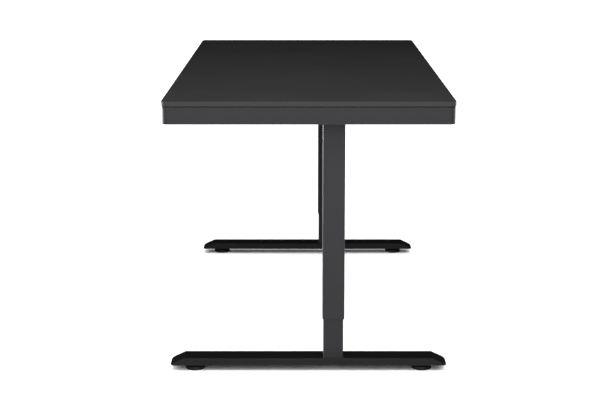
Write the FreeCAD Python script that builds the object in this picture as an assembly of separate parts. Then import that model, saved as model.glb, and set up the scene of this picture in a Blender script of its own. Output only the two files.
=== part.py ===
import FreeCAD, Part

import math
import os

from FreeCAD import Matrix, Vector

# Height adjustable standing desk: a thin board on a shallow steel apron, carried by two
# telescoping square columns. Each column stands on a low steel foot with two levelling glides,
# and holds a motor, a worm gearbox, a lead screw and a nut.
# Frame: millimetres, +X along the desk towards its right end, +Y from front to back, +Z up.
# The origin is on the floor, under the middle of the desk. All heights are at rest.

# ---------------------------------------------------------------- tabletop
TABLE_LENGTH = 1400.0
TABLE_DEPTH = 700.0
TABLE_HEIGHT = 700.0
BOARD_THICKNESS = 12.0
BOARD_CORNER_R = 16.0
BOARD_ARRIS_R = 1.2

# ---------------------------------------------------------------- gasket and apron
GASKET_THICKNESS = 2.0
GASKET_SETBACK = 4.0
GASKET_WIDTH = 14.0
APRON_SETBACK = 1.5
APRON_HEIGHT = 41.0
APRON_SHEET = 1.5
APRON_TOP_FLANGE = 24.0
APRON_BOTTOM_FLANGE = 14.0
APRON_EDGE_R = 1.4

# ---------------------------------------------------------------- columns
COLUMN_INSET = 117.5
COLUMN_OFFSET_Y = 62.5
OUTER_TUBE = 55.0
OUTER_WALL = 1.5
INNER_TUBE = 50.0
INNER_WALL = 2.0
TUBE_CORNER_R = 4.0
INNER_TUBE_SHOWING = 104.0
BASE_PLUG_HEIGHT = 10.0
TRAVEL_DOWN = 20.0
GUIDE_CLEARANCE = 0.1
LOWER_SLEEVE_LENGTH = 40.0
SLEEVE_LIP = 3.0
SLEEVE_LIP_SETBACK = 0.3
SLEEVE_LIP_R = 2.2
UPPER_GUIDE_LENGTH = 40.0
UPPER_GUIDE_CAP = 2.0
UPPER_GUIDE_RIM = 5.0
GUIDE_SPACING = 4.0
STOP_CLEARANCE = 2.0

# ---------------------------------------------------------------- column head
CHANNEL_WIDTH = 65.0
CHANNEL_HEIGHT = 38.0
CHANNEL_SHEET = 2.5
CHANNEL_FLANGE = 15.0
CHANNEL_END_GAP = 60.0
COLUMN_FLANGE_THICKNESS = 4.0
COLUMN_FLANGE_LENGTH = 100.0
COLUMN_BOLT_X = 20.0
COLUMN_BOLT_Y = 41.0

# ---------------------------------------------------------------- long rails
RAIL_WIDTH = 26.0
RAIL_HEIGHT = 25.0
RAIL_WALL = 1.5
RAIL_DROP = 9.0
RAIL_FRONT_FROM_COLUMN = 102.5
RAIL_BACK_FROM_COLUMN = 67.5
RAIL_PLATE_THICKNESS = 3.0
RAIL_NUT_CLEARANCE = 0.8

# ---------------------------------------------------------------- feet and glides
FOOT_LENGTH = 698.0
FOOT_WIDTH = 60.0
FOOT_HEIGHT = 19.0
FOOT_SHEET = 2.5
FOOT_SLOPE_LENGTH = 35.0
FOOT_END_LIP = 3.0
FOOT_EDGE_R = 1.5
FOOT_CORNER_R = 12.0
FOOT_CLEARANCE = 15.0
FOOT_BOLT_SPACING = 30.0
GLIDE_INSET = 61.5
GLIDE_DIAMETER = 50.0
GLIDE_PAD_HEIGHT = 9.5
GLIDE_CHAMFER = 1.5
GLIDE_COLLAR_FLATS = 17.0
GLIDE_COLLAR_HEIGHT = 5.0
GLIDE_STUD_EMBED = 5.0
GLIDE_RAISE = 2.5
GLIDE_NUT_DIAMETER = 16.0
GLIDE_NUT_HEIGHT = 12.0

# ---------------------------------------------------------------- drive
SCREW_DIAMETER = 14.0
SCREW_JOURNAL = 12.0
SCREW_SPINDLE = 10.0
SCREW_STOP_DIAMETER = 20.0
SCREW_STOP_HEIGHT = 5.0
NUT_DIAMETER = 24.0
NUT_FLANGE_DIAMETER = 34.0
NUT_FLANGE_HEIGHT = 4.0
NUT_LENGTH = 32.0
CARRIER_HEIGHT = 30.0
CARRIER_STUD_DIAMETER = 8.0
BEARING_OUTER = 26.0
BEARING_HEIGHT = 9.0
BEARING_WASHER = 2.2
BEARING_BALLS = 10
RUNNING_CLEARANCE = 0.05
WORM_MODULE = 1.2
WHEEL_TEETH = 20
WHEEL_WIDTH = 8.0
WORM_PITCH_R = 6.0
WORM_TURNS = 5
TOOTH_BACKLASH = 0.6
TOOTH_ADDENDUM = 1.1
TOOTH_DEDENDUM = 1.5
PRESSURE_ANGLE = 20.0
MOTOR_CLEARANCE = 0.5
CASE_HALF_X = 25.0
CASE_FLANGE = 4.0
CASE_WALL = 5.0
CASE_SIDE_CLEARANCE = 0.5
GEAR_CLEARANCE = 1.1
COVER_THICKNESS = 3.0
COVER_GAP = 5.0
MOTOR_LENGTH = 85.0
MOTOR_DIAMETER = 36.0
MOTOR_WALL = 2.0
MOTOR_FRONT = 3.0
MOTOR_BOSS_RIM = 1.8
MOTOR_SHAFT_DIAMETER = 6.0
MOTOR_CAP_LENGTH = 15.0
MOTOR_CAP_WALL = 3.0
ROTOR_DIAMETER = 22.0
ROTOR_LENGTH = 40.0

# ---------------------------------------------------------------- control box
BOX_LENGTH = 240.0
BOX_DEPTH = 80.0
BOX_HEIGHT = 34.0
BOX_WALL = 2.0
BOX_CENTRE_Y = 42.0
BOX_EAR = 14.0
BOX_CORNER_R = 4.0
BOARD_CLEARANCE = 3.0
CIRCUIT_BOARD = 1.6
SOCKET_SIZE = 12.0
SOCKET_PROUD = 3.0
SOCKET_SPACING = 40.0
INLET_WIDTH = 27.0
INLET_HEIGHT = 20.0
INLET_DEPTH = 18.0
INLET_WALL = 2.0
INLET_FLANGE = 2.0

# ---------------------------------------------------------------- keypad
KEYPAD_FROM_END = 200.0
KEYPAD_LENGTH = 118.0
KEYPAD_HEIGHT = 28.0
KEYPAD_CORNER_R = 4.0
BEZEL_THICKNESS = 1.0
KEYPAD_CASE_BORDER = 5.0
KEYPAD_CASE_DEPTH = 24.0
KEYPAD_CASE_WALL = 1.5
KEYPAD_CUTOUT_CLEARANCE = 0.5
KEY_SIZE = 10.5
KEY_PITCH = 13.2
KEY_CORNER_R = 2.0
KEY_CLEARANCE = 0.25
KEY_PROUD = 0.5
KEY_DEPTH = 6.0
KEY_LIP = 1.0
KEY_TRAVEL = 0.8
DISPLAY_LENGTH = 22.0
DISPLAY_HEIGHT = 12.0
DISPLAY_THICKNESS = 1.5
SWITCH_SIZE = 6.0
SWITCH_HEIGHT = 3.5
KEYS = ["up", "down", "preset_1", "preset_2", "preset_3", "memory"]

# ---------------------------------------------------------------- leads and fasteners
MOTOR_LEAD_DIAMETER = 5.0
KEYPAD_LEAD_DIAMETER = 4.0
ARC_SHARE = 0.45
CLIP_WIDTH = 10.0
CLIP_WALL = 1.2
CLIP_FOOT = 6.0
CLIP_CLEARANCE = 0.1
BOLT_DIAMETER = 6.0
BOLT_HEAD_DIAMETER = 11.0
BOLT_HEAD_HEIGHT = 3.3
NUT_FLATS = 10.0
NUT_HEIGHT = 5.0
FOOT_BOLT_DIAMETER = 8.0
FOOT_BOLT_HEAD_DIAMETER = 13.0
FOOT_BOLT_HEAD_HEIGHT = 5.0
STUD_DIAMETER = 8.0
WOOD_SCREW_DIAMETER = 4.0
WOOD_SCREW_HEAD = 8.0
WOOD_SCREW_HEAD_HEIGHT = 2.5
WOOD_SCREW_BITE = 9.0
HOLE_CLEARANCE = 0.3

# ---------------------------------------------------------------- levels and places worked out
BOARD_UNDER = TABLE_HEIGHT - BOARD_THICKNESS
APRON_TOP = BOARD_UNDER - GASKET_THICKNESS
APRON_BOTTOM = APRON_TOP - APRON_HEIGHT
CHANNEL_BOTTOM = BOARD_UNDER - CHANNEL_HEIGHT
COLUMN_TOP = CHANNEL_BOTTOM - COLUMN_FLANGE_THICKNESS
CASE_BOTTOM = CHANNEL_BOTTOM + CHANNEL_SHEET
WORM_BORE_R = WORM_PITCH_R + TOOTH_ADDENDUM + GEAR_CLEARANCE
MOTOR_BOSS_R = WORM_BORE_R + MOTOR_BOSS_RIM
WORM_Z = BOARD_UNDER - CHANNEL_SHEET - MOTOR_CLEARANCE - MOTOR_DIAMETER / 2
BEARING_BOTTOM = CHANNEL_BOTTOM - STOP_CLEARANCE
BEARING_TOP = BEARING_BOTTOM + BEARING_HEIGHT
COVER_TOP = BOARD_UNDER - COVER_GAP
COVER_BOTTOM = COVER_TOP - COVER_THICKNESS
FOOT_TOP = FOOT_CLEARANCE + FOOT_HEIGHT
FOOT_SKIN = FOOT_TOP - FOOT_SHEET
OUTER_TUBE_END = FOOT_TOP + INNER_TUBE_SHOWING
INNER_TUBE_TOP = COLUMN_TOP - TRAVEL_DOWN - STOP_CLEARANCE - UPPER_GUIDE_CAP
NUT_BOTTOM = INNER_TUBE_TOP - NUT_LENGTH
TRAVEL_UP = INNER_TUBE_TOP - OUTER_TUBE_END - UPPER_GUIDE_LENGTH - LOWER_SLEEVE_LENGTH - GUIDE_SPACING
SCREW_BOTTOM = NUT_BOTTOM - TRAVEL_UP - 2 * SCREW_STOP_HEIGHT
RAIL_TOP = BOARD_UNDER - RAIL_DROP
RAIL_MIDDLE = RAIL_TOP - RAIL_HEIGHT / 2
LEAD_LEVEL = BOARD_UNDER - CLIP_WALL - 2 * CLIP_CLEARANCE
BOX_BOTTOM = BOARD_UNDER - BOX_HEIGHT
BOX_MIDDLE = BOARD_UNDER - BOX_HEIGHT / 2 - BOX_WALL
KEYPAD_MIDDLE = APRON_BOTTOM + APRON_HEIGHT / 2

COLUMN_X = TABLE_LENGTH / 2 - COLUMN_INSET
CHANNEL_HALF_Y = TABLE_DEPTH / 2 - CHANNEL_END_GAP
CHANNEL_INSIDE = CHANNEL_WIDTH / 2 - CHANNEL_SHEET
RAIL_YS = {
    "front": COLUMN_OFFSET_Y - RAIL_FRONT_FROM_COLUMN,
    "back": COLUMN_OFFSET_Y + RAIL_BACK_FROM_COLUMN,
}
RAIL_HALF_X = COLUMN_X - CHANNEL_WIDTH / 2
RAIL_BOLT_Y = RAIL_WIDTH / 2 + NUT_FLATS / math.sqrt(3) + RAIL_NUT_CLEARANCE
RAIL_PLATE_WIDTH = 2 * (RAIL_BOLT_Y + NUT_FLATS / math.sqrt(3) + RAIL_NUT_CLEARANCE)
GLIDE_Y = FOOT_LENGTH / 2 - GLIDE_INSET
WORM_PITCH = math.pi * WORM_MODULE
WHEEL_PITCH_R = WORM_MODULE * WHEEL_TEETH / 2
WORM_Y = COLUMN_OFFSET_Y - WHEEL_PITCH_R - WORM_PITCH_R
WORM_HALF = WORM_PITCH * (WORM_TURNS + 1) / 2
MOTOR_X = COLUMN_X - CHANNEL_WIDTH / 2
MOTOR_REAR_X = MOTOR_X - MOTOR_LENGTH
MOTOR_CAP_X = MOTOR_REAR_X - MOTOR_CAP_LENGTH
APRON_FACE_Y = -(TABLE_DEPTH / 2 - APRON_SETBACK)
BEZEL_Y = APRON_FACE_Y - BEZEL_THICKNESS
KEYPAD_X = TABLE_LENGTH / 2 - KEYPAD_FROM_END
KEY_BACK_Y = BEZEL_Y - KEY_PROUD + KEY_DEPTH


# ---------------------------------------------------------------- basic shapes
def block(x0, x1, y0, y1, z0, z1):
    """A box between two corners."""
    return Part.makeBox(x1 - x0, y1 - y0, z1 - z0, Vector(x0, y0, z0))


def rod(radius, start, end):
    """A round bar between two points."""
    a = Vector(*start)
    along = Vector(*end) - a
    return Part.makeCylinder(radius, along.Length, a, along)


def ring(outer_r, inner_r, start, end):
    """A round bar with a bore right through it."""
    return rod(outer_r, start, end).cut(rod(inner_r, start, end))


def rounded_face(size_x, size_y, radius):
    """A rectangle with round corners, centred on the origin, facing +Z."""
    hx, hy = size_x / 2, size_y / 2
    bend = radius * math.sqrt(0.5)
    edges = []
    corners = [(1, 1), (-1, 1), (-1, -1), (1, -1)]
    for i, (sx, sy) in enumerate(corners):
        cx, cy = sx * (hx - radius), sy * (hy - radius)
        along_x = Vector(cx, sy * hy, 0)
        along_y = Vector(sx * hx, cy, 0)
        middle = Vector(cx + sx * bend, cy + sy * bend, 0)
        first, last = (along_y, along_x) if sx == sy else (along_x, along_y)
        edges.append(Part.Arc(first, middle, last).toShape())
        nx, ny = corners[(i + 1) % 4]
        ncx, ncy = nx * (hx - radius), ny * (hy - radius)
        following = Vector(ncx, ny * hy, 0) if sx == sy else Vector(nx * hx, ncy, 0)
        edges.append(Part.LineSegment(last, following).toShape())
    return Part.Face(Part.Wire(edges))


def rounded_bar(centre_x, centre_y, size_x, size_y, radius, z0, z1):
    """An upright bar with round corners."""
    bar = rounded_face(size_x, size_y, radius).extrude(Vector(0, 0, z1 - z0))
    bar.translate(Vector(centre_x, centre_y, z0))
    return bar


def hexagon(centre_x, centre_y, flats, z0, z1):
    """An upright hexagonal bar, flats apart across two flat sides."""
    radius = flats / math.sqrt(3)
    turns = [math.radians(60 * i) for i in range(7)]
    points = [Vector(radius * math.cos(t), radius * math.sin(t), 0) for t in turns]
    bar = Part.Face(Part.makePolygon(points)).extrude(Vector(0, 0, z1 - z0))
    bar.translate(Vector(centre_x, centre_y, z0))
    return bar


def along_x(shape, x, y, z):
    """Turns a shape made about +Z so that it lies about +X, with its old +X towards +Y."""
    turned = shape.copy()
    turned.transformShape(Matrix(0, 0, 1, x, 1, 0, 0, y, 0, 1, 0, z, 0, 0, 0, 1))
    return turned


def facing_front(shape, x, y, z):
    """Turns a shape made about +Z so that its +Z faces the front, -Y."""
    turned = shape.copy()
    turned.transformShape(Matrix(1, 0, 0, x, 0, 0, -1, y, 0, 1, 0, z, 0, 0, 0, 1))
    return turned


def mirrored(shape):
    """The same piece at the desk's other end."""
    return shape.mirror(Vector(0, 0, 0), Vector(1, 0, 0))


def edges_where(shape, test):
    """The edges whose middle passes a test."""
    return [e for e in shape.Edges if test(e.BoundBox.Center)]


# ---------------------------------------------------------------- fasteners and their places
def channel_screw_places():
    """Where wood screws hold the two head channels to the board."""
    out = CHANNEL_WIDTH / 2 + CHANNEL_FLANGE / 2
    rows = [CHANNEL_HALF_Y * share for share in (-0.93, -0.4, 0.7, 0.93)]
    return [(side * COLUMN_X + edge * out, y) for side in (-1, 1) for edge in (-1, 1) for y in rows]


def apron_screw_places():
    """Where wood screws hold the apron's top flange, through the gasket, to the board."""
    inset = GASKET_SETBACK + GASKET_WIDTH / 2
    half_x, half_y = TABLE_LENGTH / 2 - inset, TABLE_DEPTH / 2 - inset
    long_side = [half_x * share for share in (-0.85, -0.5, -0.17, 0.17, 0.5, 0.85)]
    short_side = [half_y * share for share in (-0.6, 0.0, 0.6)]
    places = [(x, side * half_y) for side in (-1, 1) for x in long_side]
    return places + [(side * half_x, y) for side in (-1, 1) for y in short_side]


def box_screw_places():
    """Where wood screws hold the control box's ears to the board."""
    out_x, out_y = BOX_LENGTH / 2 - BOX_EAR, BOX_DEPTH / 2 + BOX_EAR / 2
    return [(sx * out_x, BOX_CENTRE_Y + sy * out_y) for sx in (-1, 1) for sy in (-1, 1)]


def wood_screw(x, y, under):
    """A pan head wood screw driven up into the board, with its head under a given level."""
    head = rod(WOOD_SCREW_HEAD / 2, (x, y, under - WOOD_SCREW_HEAD_HEIGHT), (x, y, under))
    head = head.makeFillet(WOOD_SCREW_HEAD_HEIGHT / 3, edges_where(head, lambda c: c.z < under - 1))
    shank = rod(WOOD_SCREW_DIAMETER / 2, (x, y, under), (x, y, BOARD_UNDER + WOOD_SCREW_BITE))
    return head.fuse(shank)


def pilot_hole(x, y, under):
    """The hole that a wood screw fills, from a given level up into the board."""
    return rod(WOOD_SCREW_DIAMETER / 2, (x, y, under), (x, y, BOARD_UNDER + WOOD_SCREW_BITE))


def column_bolt_places():
    """The four bolts of the right-hand column's flange."""
    return [
        (COLUMN_X + sx * COLUMN_BOLT_X, COLUMN_OFFSET_Y + sy * COLUMN_BOLT_Y)
        for sx in (-1, 1)
        for sy in (-1, 1)
    ]


def rail_bolt_ys():
    """How far across the desk the bolts of both rails' end plates are."""
    return [y + side * RAIL_BOLT_Y for y in RAIL_YS.values() for side in (-1, 1)]


def frame_bolts():
    """Bolts and nuts of the right-hand column head: up through the flange, and through the rail plates."""
    solids = []
    nut_level = CASE_BOTTOM + CASE_FLANGE
    for x, y in column_bolt_places():
        head = rod(BOLT_HEAD_DIAMETER / 2, (x, y, COLUMN_TOP - BOLT_HEAD_HEIGHT), (x, y, COLUMN_TOP))
        head = head.makeFillet(BOLT_HEAD_HEIGHT / 2, edges_where(head, lambda c: c.z < COLUMN_TOP - 1))
        shank = rod(BOLT_DIAMETER / 2, (x, y, COLUMN_TOP), (x, y, nut_level + NUT_HEIGHT + 1))
        nut = hexagon(x, y, NUT_FLATS, nut_level, nut_level + NUT_HEIGHT)
        solids += [head.fuse(shank), nut.cut(shank)]
    wall = COLUMN_X - CHANNEL_INSIDE
    plate = MOTOR_X - RAIL_PLATE_THICKNESS
    for y in rail_bolt_ys():
        head = along_x(hexagon(0, 0, NUT_FLATS, 0, BOLT_HEAD_HEIGHT), wall, y, RAIL_MIDDLE)
        shank = rod(BOLT_DIAMETER / 2, (wall, y, RAIL_MIDDLE), (plate - NUT_HEIGHT - 1, y, RAIL_MIDDLE))
        nut = along_x(hexagon(0, 0, NUT_FLATS, 0, NUT_HEIGHT), plate - NUT_HEIGHT, y, RAIL_MIDDLE)
        solids += [head.fuse(shank), nut.cut(shank)]
    return solids


# ---------------------------------------------------------------- tabletop, gasket and apron
def tabletop():
    """The board, with eased edges and the pilot holes of every wood screw."""
    board = rounded_bar(0, 0, TABLE_LENGTH, TABLE_DEPTH, BOARD_CORNER_R, BOARD_UNDER, TABLE_HEIGHT)
    rims = edges_where(board, lambda c: abs(c.z - TABLE_HEIGHT) < 0.01 or abs(c.z - BOARD_UNDER) < 0.01)
    board = board.makeFillet(BOARD_ARRIS_R, rims)
    places = channel_screw_places() + apron_screw_places() + box_screw_places()
    return board.cut([pilot_hole(x, y, BOARD_UNDER) for x, y in places])


def outline_bar(setback, z0, z1):
    """The table's plan drawn in by a setback, between two levels."""
    radius = max(BOARD_CORNER_R - setback, 1.0)
    size_x, size_y = TABLE_LENGTH - 2 * setback, TABLE_DEPTH - 2 * setback
    return rounded_bar(0, 0, size_x, size_y, radius, z0, z1)


def top_gasket():
    """Foam strip between the apron and the board, set back so that it shows as a dark seam."""
    strip = outline_bar(GASKET_SETBACK, APRON_TOP, BOARD_UNDER)
    strip = strip.cut(outline_bar(GASKET_SETBACK + GASKET_WIDTH, APRON_TOP, BOARD_UNDER))
    return strip.cut([pilot_hole(x, y, APRON_TOP) for x, y in apron_screw_places()])


def apron():
    """Folded and welded steel ring with a flange along its top and a return along its bottom."""
    shell = outline_bar(APRON_SETBACK, APRON_BOTTOM, APRON_TOP)
    rims = edges_where(shell, lambda c: abs(c.z - APRON_BOTTOM) < 0.01 or abs(c.z - APRON_TOP) < 0.01)
    shell = shell.makeFillet(min(APRON_EDGE_R, 0.95 * APRON_SHEET), rims)
    inside = outline_bar(APRON_SETBACK + APRON_SHEET, APRON_BOTTOM + APRON_SHEET, APRON_TOP - APRON_SHEET)
    top_hole = outline_bar(APRON_SETBACK + APRON_TOP_FLANGE, APRON_TOP - 2 * APRON_SHEET, APRON_TOP)
    low_hole = outline_bar(APRON_SETBACK + APRON_BOTTOM_FLANGE, APRON_BOTTOM, APRON_BOTTOM + 2 * APRON_SHEET)
    holes = [pilot_hole(x, y, APRON_TOP - 2 * APRON_SHEET) for x, y in apron_screw_places()]
    clearance = 2 * KEYPAD_CUTOUT_CLEARANCE
    window = facing_front(
        Part.makeBox(
            keypad_case_length() + clearance,
            keypad_case_height() + clearance,
            3 * APRON_SHEET,
            Vector(-(keypad_case_length() + clearance) / 2, -(keypad_case_height() + clearance) / 2, 0),
        ),
        KEYPAD_X,
        APRON_FACE_Y + 2 * APRON_SHEET,
        KEYPAD_MIDDLE,
    )
    return shell.cut([inside, top_hole, low_hole, window] + holes)


def top_screws():
    """Every wood screw under the board."""
    solids = [wood_screw(x, y, BOARD_UNDER - CHANNEL_SHEET) for x, y in channel_screw_places()]
    solids += [wood_screw(x, y, APRON_TOP - APRON_SHEET) for x, y in apron_screw_places()]
    solids += [wood_screw(x, y, BOARD_UNDER - BOX_WALL) for x, y in box_screw_places()]
    return solids


# ---------------------------------------------------------------- column head, right-hand end
def head_channel():
    """Steel channel across the desk, open upwards, with a flange each side against the board."""
    x0, x1 = COLUMN_X - CHANNEL_WIDTH / 2, COLUMN_X + CHANNEL_WIDTH / 2
    y0, y1 = -CHANNEL_HALF_Y, CHANNEL_HALF_Y
    web = block(x0, x1, y0, y1, CHANNEL_BOTTOM, CASE_BOTTOM)
    solids = [web]
    for side in (-1, 1):
        wall_x = sorted((COLUMN_X + side * CHANNEL_INSIDE, COLUMN_X + side * CHANNEL_WIDTH / 2))
        solids.append(block(*wall_x, y0, y1, CHANNEL_BOTTOM, BOARD_UNDER))
        edge = COLUMN_X + side * (CHANNEL_WIDTH / 2 + CHANNEL_FLANGE)
        flange_x = sorted((COLUMN_X + side * CHANNEL_INSIDE, edge))
        solids.append(block(*flange_x, y0, y1, BOARD_UNDER - CHANNEL_SHEET, BOARD_UNDER))
    channel = solids[0].multiFuse(solids[1:]).removeSplitter()
    low_edges = edges_where(
        channel,
        lambda c: abs(c.z - CHANNEL_BOTTOM) < 0.01 and abs(abs(c.x - COLUMN_X) - CHANNEL_WIDTH / 2) < 0.01,
    )
    channel = channel.makeFillet(CHANNEL_SHEET * 0.9, low_edges)
    column = (COLUMN_X, COLUMN_OFFSET_Y)
    bearing_r = BEARING_OUTER / 2 + 1
    cuts = [rod(bearing_r, (*column, CHANNEL_BOTTOM), (*column, CASE_BOTTOM))]
    cuts += [bolt_hole(x, y, CHANNEL_BOTTOM, CASE_BOTTOM) for x, y in column_bolt_places()]
    motor_hole_r = MOTOR_BOSS_R + HOLE_CLEARANCE
    cuts.append(rod(motor_hole_r, (x0, WORM_Y, WORM_Z), (x0 + CHANNEL_SHEET, WORM_Y, WORM_Z)))
    hole_r = BOLT_DIAMETER / 2 + HOLE_CLEARANCE
    for y in rail_bolt_ys():
        cuts.append(rod(hole_r, (x0, y, RAIL_MIDDLE), (x0 + CHANNEL_SHEET, y, RAIL_MIDDLE)))
    for x, y in channel_screw_places():
        cuts.append(pilot_hole(x, y, BOARD_UNDER - CHANNEL_SHEET))
    return channel.cut(cuts)


def bolt_hole(x, y, z0, z1):
    """Clearance hole of an upright bolt."""
    return rod(BOLT_DIAMETER / 2 + HOLE_CLEARANCE, (x, y, z0), (x, y, z1))


def rail(y):
    """Rectangular tube along the desk, welded to an end plate at each column head."""
    z0, z1 = RAIL_TOP - RAIL_HEIGHT, RAIL_TOP
    tube_end = RAIL_HALF_X - RAIL_PLATE_THICKNESS
    side, wall = RAIL_WIDTH / 2, RAIL_WALL
    tube = block(-tube_end, tube_end, y - side, y + side, z0, z1)
    long_edges = edges_where(tube, lambda c: abs(c.x) < 1)
    tube = tube.makeFillet(2 * wall, long_edges)
    bore = block(-tube_end, tube_end, y - side + wall, y + side - wall, z0 + wall, z1 - wall)
    tube = tube.cut(bore)
    plates = []
    for end in (-1, 1):
        plate_x = sorted((end * tube_end, end * RAIL_HALF_X))
        plate = block(*plate_x, y - RAIL_PLATE_WIDTH / 2, y + RAIL_PLATE_WIDTH / 2, z0, z1)
        hole_r = BOLT_DIAMETER / 2 + HOLE_CLEARANCE
        for bolt in (-1, 1):
            hole_y = y + bolt * RAIL_BOLT_Y
            start, end = [(edge, hole_y, RAIL_MIDDLE) for edge in plate_x]
            plate = plate.cut(rod(hole_r, start, end))
        plates.append(plate)
    return tube.multiFuse(plates).removeSplitter()


# ---------------------------------------------------------------- column tubes, right-hand end
def square_tube(size, wall, radius, z0, z1):
    """Square tube with round corners on the right-hand column's axis."""
    place = (COLUMN_X, COLUMN_OFFSET_Y)
    inside = size - 2 * wall
    outer = rounded_bar(*place, size, size, radius, z0, z1)
    return outer.cut(rounded_bar(*place, inside, inside, max(radius - wall, 0.5), z0, z1))


def outer_tube():
    """Upper tube of the column, welded under the flange that bolts to the head channel."""
    tube = square_tube(OUTER_TUBE, OUTER_WALL, TUBE_CORNER_R, OUTER_TUBE_END, COLUMN_TOP)
    half_y = COLUMN_FLANGE_LENGTH / 2
    size_x = 2 * CHANNEL_INSIDE
    flange = rounded_bar(COLUMN_X, COLUMN_OFFSET_Y, size_x, 2 * half_y, 5, COLUMN_TOP, CHANNEL_BOTTOM)
    column = (COLUMN_X, COLUMN_OFFSET_Y)
    cuts = [rod(BEARING_OUTER / 2 + 1, (*column, COLUMN_TOP), (*column, CHANNEL_BOTTOM))]
    cuts += [bolt_hole(x, y, COLUMN_TOP, CHANNEL_BOTTOM) for x, y in column_bolt_places()]
    return tube.fuse(flange).cut(cuts)


def inner_tube():
    """Lower tube of the column, with a tapped plug welded into its foot."""
    tube = square_tube(INNER_TUBE, INNER_WALL, TUBE_CORNER_R, FOOT_TOP, INNER_TUBE_TOP)
    plug_size = INNER_TUBE - 2 * INNER_WALL
    plug_r = max(TUBE_CORNER_R - INNER_WALL, 0.5)
    place = (COLUMN_X, COLUMN_OFFSET_Y)
    plug = rounded_bar(*place, plug_size, plug_size, plug_r, FOOT_TOP, FOOT_TOP + BASE_PLUG_HEIGHT)
    cuts = [foot_bolt_shank(x, y) for x, y in foot_bolt_places()]
    return tube.fuse(plug).removeSplitter().cut(cuts + carrier_studs())


def carrier_studs():
    """Four round studs that lock the nut carrier through the inner tube's walls."""
    level = INNER_TUBE_TOP - CARRIER_HEIGHT * 0.6
    half = INNER_TUBE / 2
    near = half - INNER_WALL - 1
    radius = CARRIER_STUD_DIAMETER / 2
    x, y = COLUMN_X, COLUMN_OFFSET_Y
    studs = []
    for side in (-1, 1):
        studs.append(rod(radius, (x + side * near, y, level), (x + side * half, y, level)))
        studs.append(rod(radius, (x, y + side * near, level), (x, y + side * half, level)))
    return studs


def nut_carrier():
    """Moulded block in the top of the inner tube, bored and counterbored for the nut."""
    place = (COLUMN_X, COLUMN_OFFSET_Y)
    size = INNER_TUBE - 2 * INNER_WALL
    bottom = INNER_TUBE_TOP - CARRIER_HEIGHT
    body = rounded_bar(*place, size, size, max(TUBE_CORNER_R - INNER_WALL, 0.5), bottom, INNER_TUBE_TOP)
    body = body.multiFuse(carrier_studs())
    seat = INNER_TUBE_TOP - NUT_FLANGE_HEIGHT
    bore = rod(NUT_DIAMETER / 2, (*place, bottom), (*place, INNER_TUBE_TOP))
    counterbore = rod(NUT_FLANGE_DIAMETER / 2, (*place, seat), (*place, INNER_TUBE_TOP))
    return body.cut([bore, counterbore])


def lead_nut():
    """Flanged nut that runs on the lead screw."""
    place = (COLUMN_X, COLUMN_OFFSET_Y)
    seat = INNER_TUBE_TOP - NUT_FLANGE_HEIGHT
    body = rod(NUT_DIAMETER / 2, (*place, NUT_BOTTOM), (*place, seat))
    flange = rod(NUT_FLANGE_DIAMETER / 2, (*place, seat), (*place, INNER_TUBE_TOP))
    bore_r = SCREW_DIAMETER / 2 + RUNNING_CLEARANCE
    return body.fuse(flange).removeSplitter().cut(rod(bore_r, (*place, NUT_BOTTOM), (*place, INNER_TUBE_TOP)))


def upper_guide():
    """Slippery cap on the top of the inner tube that slides in the outer tube."""
    place = (COLUMN_X, COLUMN_OFFSET_Y)
    size = OUTER_TUBE - 2 * OUTER_WALL - 2 * GUIDE_CLEARANCE
    thickness = (size - INNER_TUBE) / 2
    bottom = INNER_TUBE_TOP - UPPER_GUIDE_LENGTH
    top = INNER_TUBE_TOP + UPPER_GUIDE_CAP
    cap = rounded_bar(*place, size, size, TUBE_CORNER_R + thickness, bottom, top)
    tube = rounded_bar(*place, INNER_TUBE, INNER_TUBE, TUBE_CORNER_R, bottom, INNER_TUBE_TOP)
    mouth_size = INNER_TUBE - 2 * UPPER_GUIDE_RIM
    mouth = rounded_bar(*place, mouth_size, mouth_size, TUBE_CORNER_R, INNER_TUBE_TOP, top)
    return cap.cut([tube, mouth])


def lower_sleeve():
    """Slippery liner in the bottom of the outer tube, with a lip under the tube's end."""
    place = (COLUMN_X, COLUMN_OFFSET_Y)
    size = OUTER_TUBE - 2 * OUTER_WALL
    lip_size = OUTER_TUBE - 2 * SLEEVE_LIP_SETBACK
    bore_size = INNER_TUBE + 2 * GUIDE_CLEARANCE
    bottom, top = OUTER_TUBE_END - SLEEVE_LIP, OUTER_TUBE_END + LOWER_SLEEVE_LENGTH
    liner = rounded_bar(*place, size, size, max(TUBE_CORNER_R - OUTER_WALL, 0.5), OUTER_TUBE_END, top)
    lip = rounded_bar(*place, lip_size, lip_size, TUBE_CORNER_R, bottom, OUTER_TUBE_END)
    lip = lip.makeFillet(SLEEVE_LIP_R, edges_where(lip, lambda c: c.z < bottom + 0.01))
    bore = rounded_bar(*place, bore_size, bore_size, TUBE_CORNER_R + GUIDE_CLEARANCE, bottom, top)
    return liner.fuse(lip).cut(bore)


# ---------------------------------------------------------------- foot and glides, right-hand end
def foot_profile(inset):
    """The foot's side view, drawn in all round but for its open bottom, as a face across the desk."""
    half = FOOT_LENGTH / 2 - inset
    slope = FOOT_SLOPE_LENGTH
    low, high = FOOT_CLEARANCE, FOOT_TOP - inset
    knee = FOOT_CLEARANCE + FOOT_END_LIP - 0.4 * inset
    outline = [(-half, low), (-half, knee), (slope - half, high)]
    outline += [(half - slope, high), (half, knee), (half, low), (-half, low)]
    return Part.Face(Part.makePolygon([Vector(0, y, z) for y, z in outline]))


def foot_solid(inset, depth):
    """The foot's outline drawn in all round, with round corners in plan, as one solid block."""
    width, length = FOOT_WIDTH - 2 * inset, FOOT_LENGTH - 2 * inset
    side_view = foot_profile(inset).extrude(Vector(width, 0, 0))
    side_view.translate(Vector(-width / 2, 0, 0))
    plan = rounded_bar(0, 0, width, length, FOOT_CORNER_R - inset, FOOT_CLEARANCE, FOOT_TOP + depth)
    return side_view.common(plan)


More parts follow.
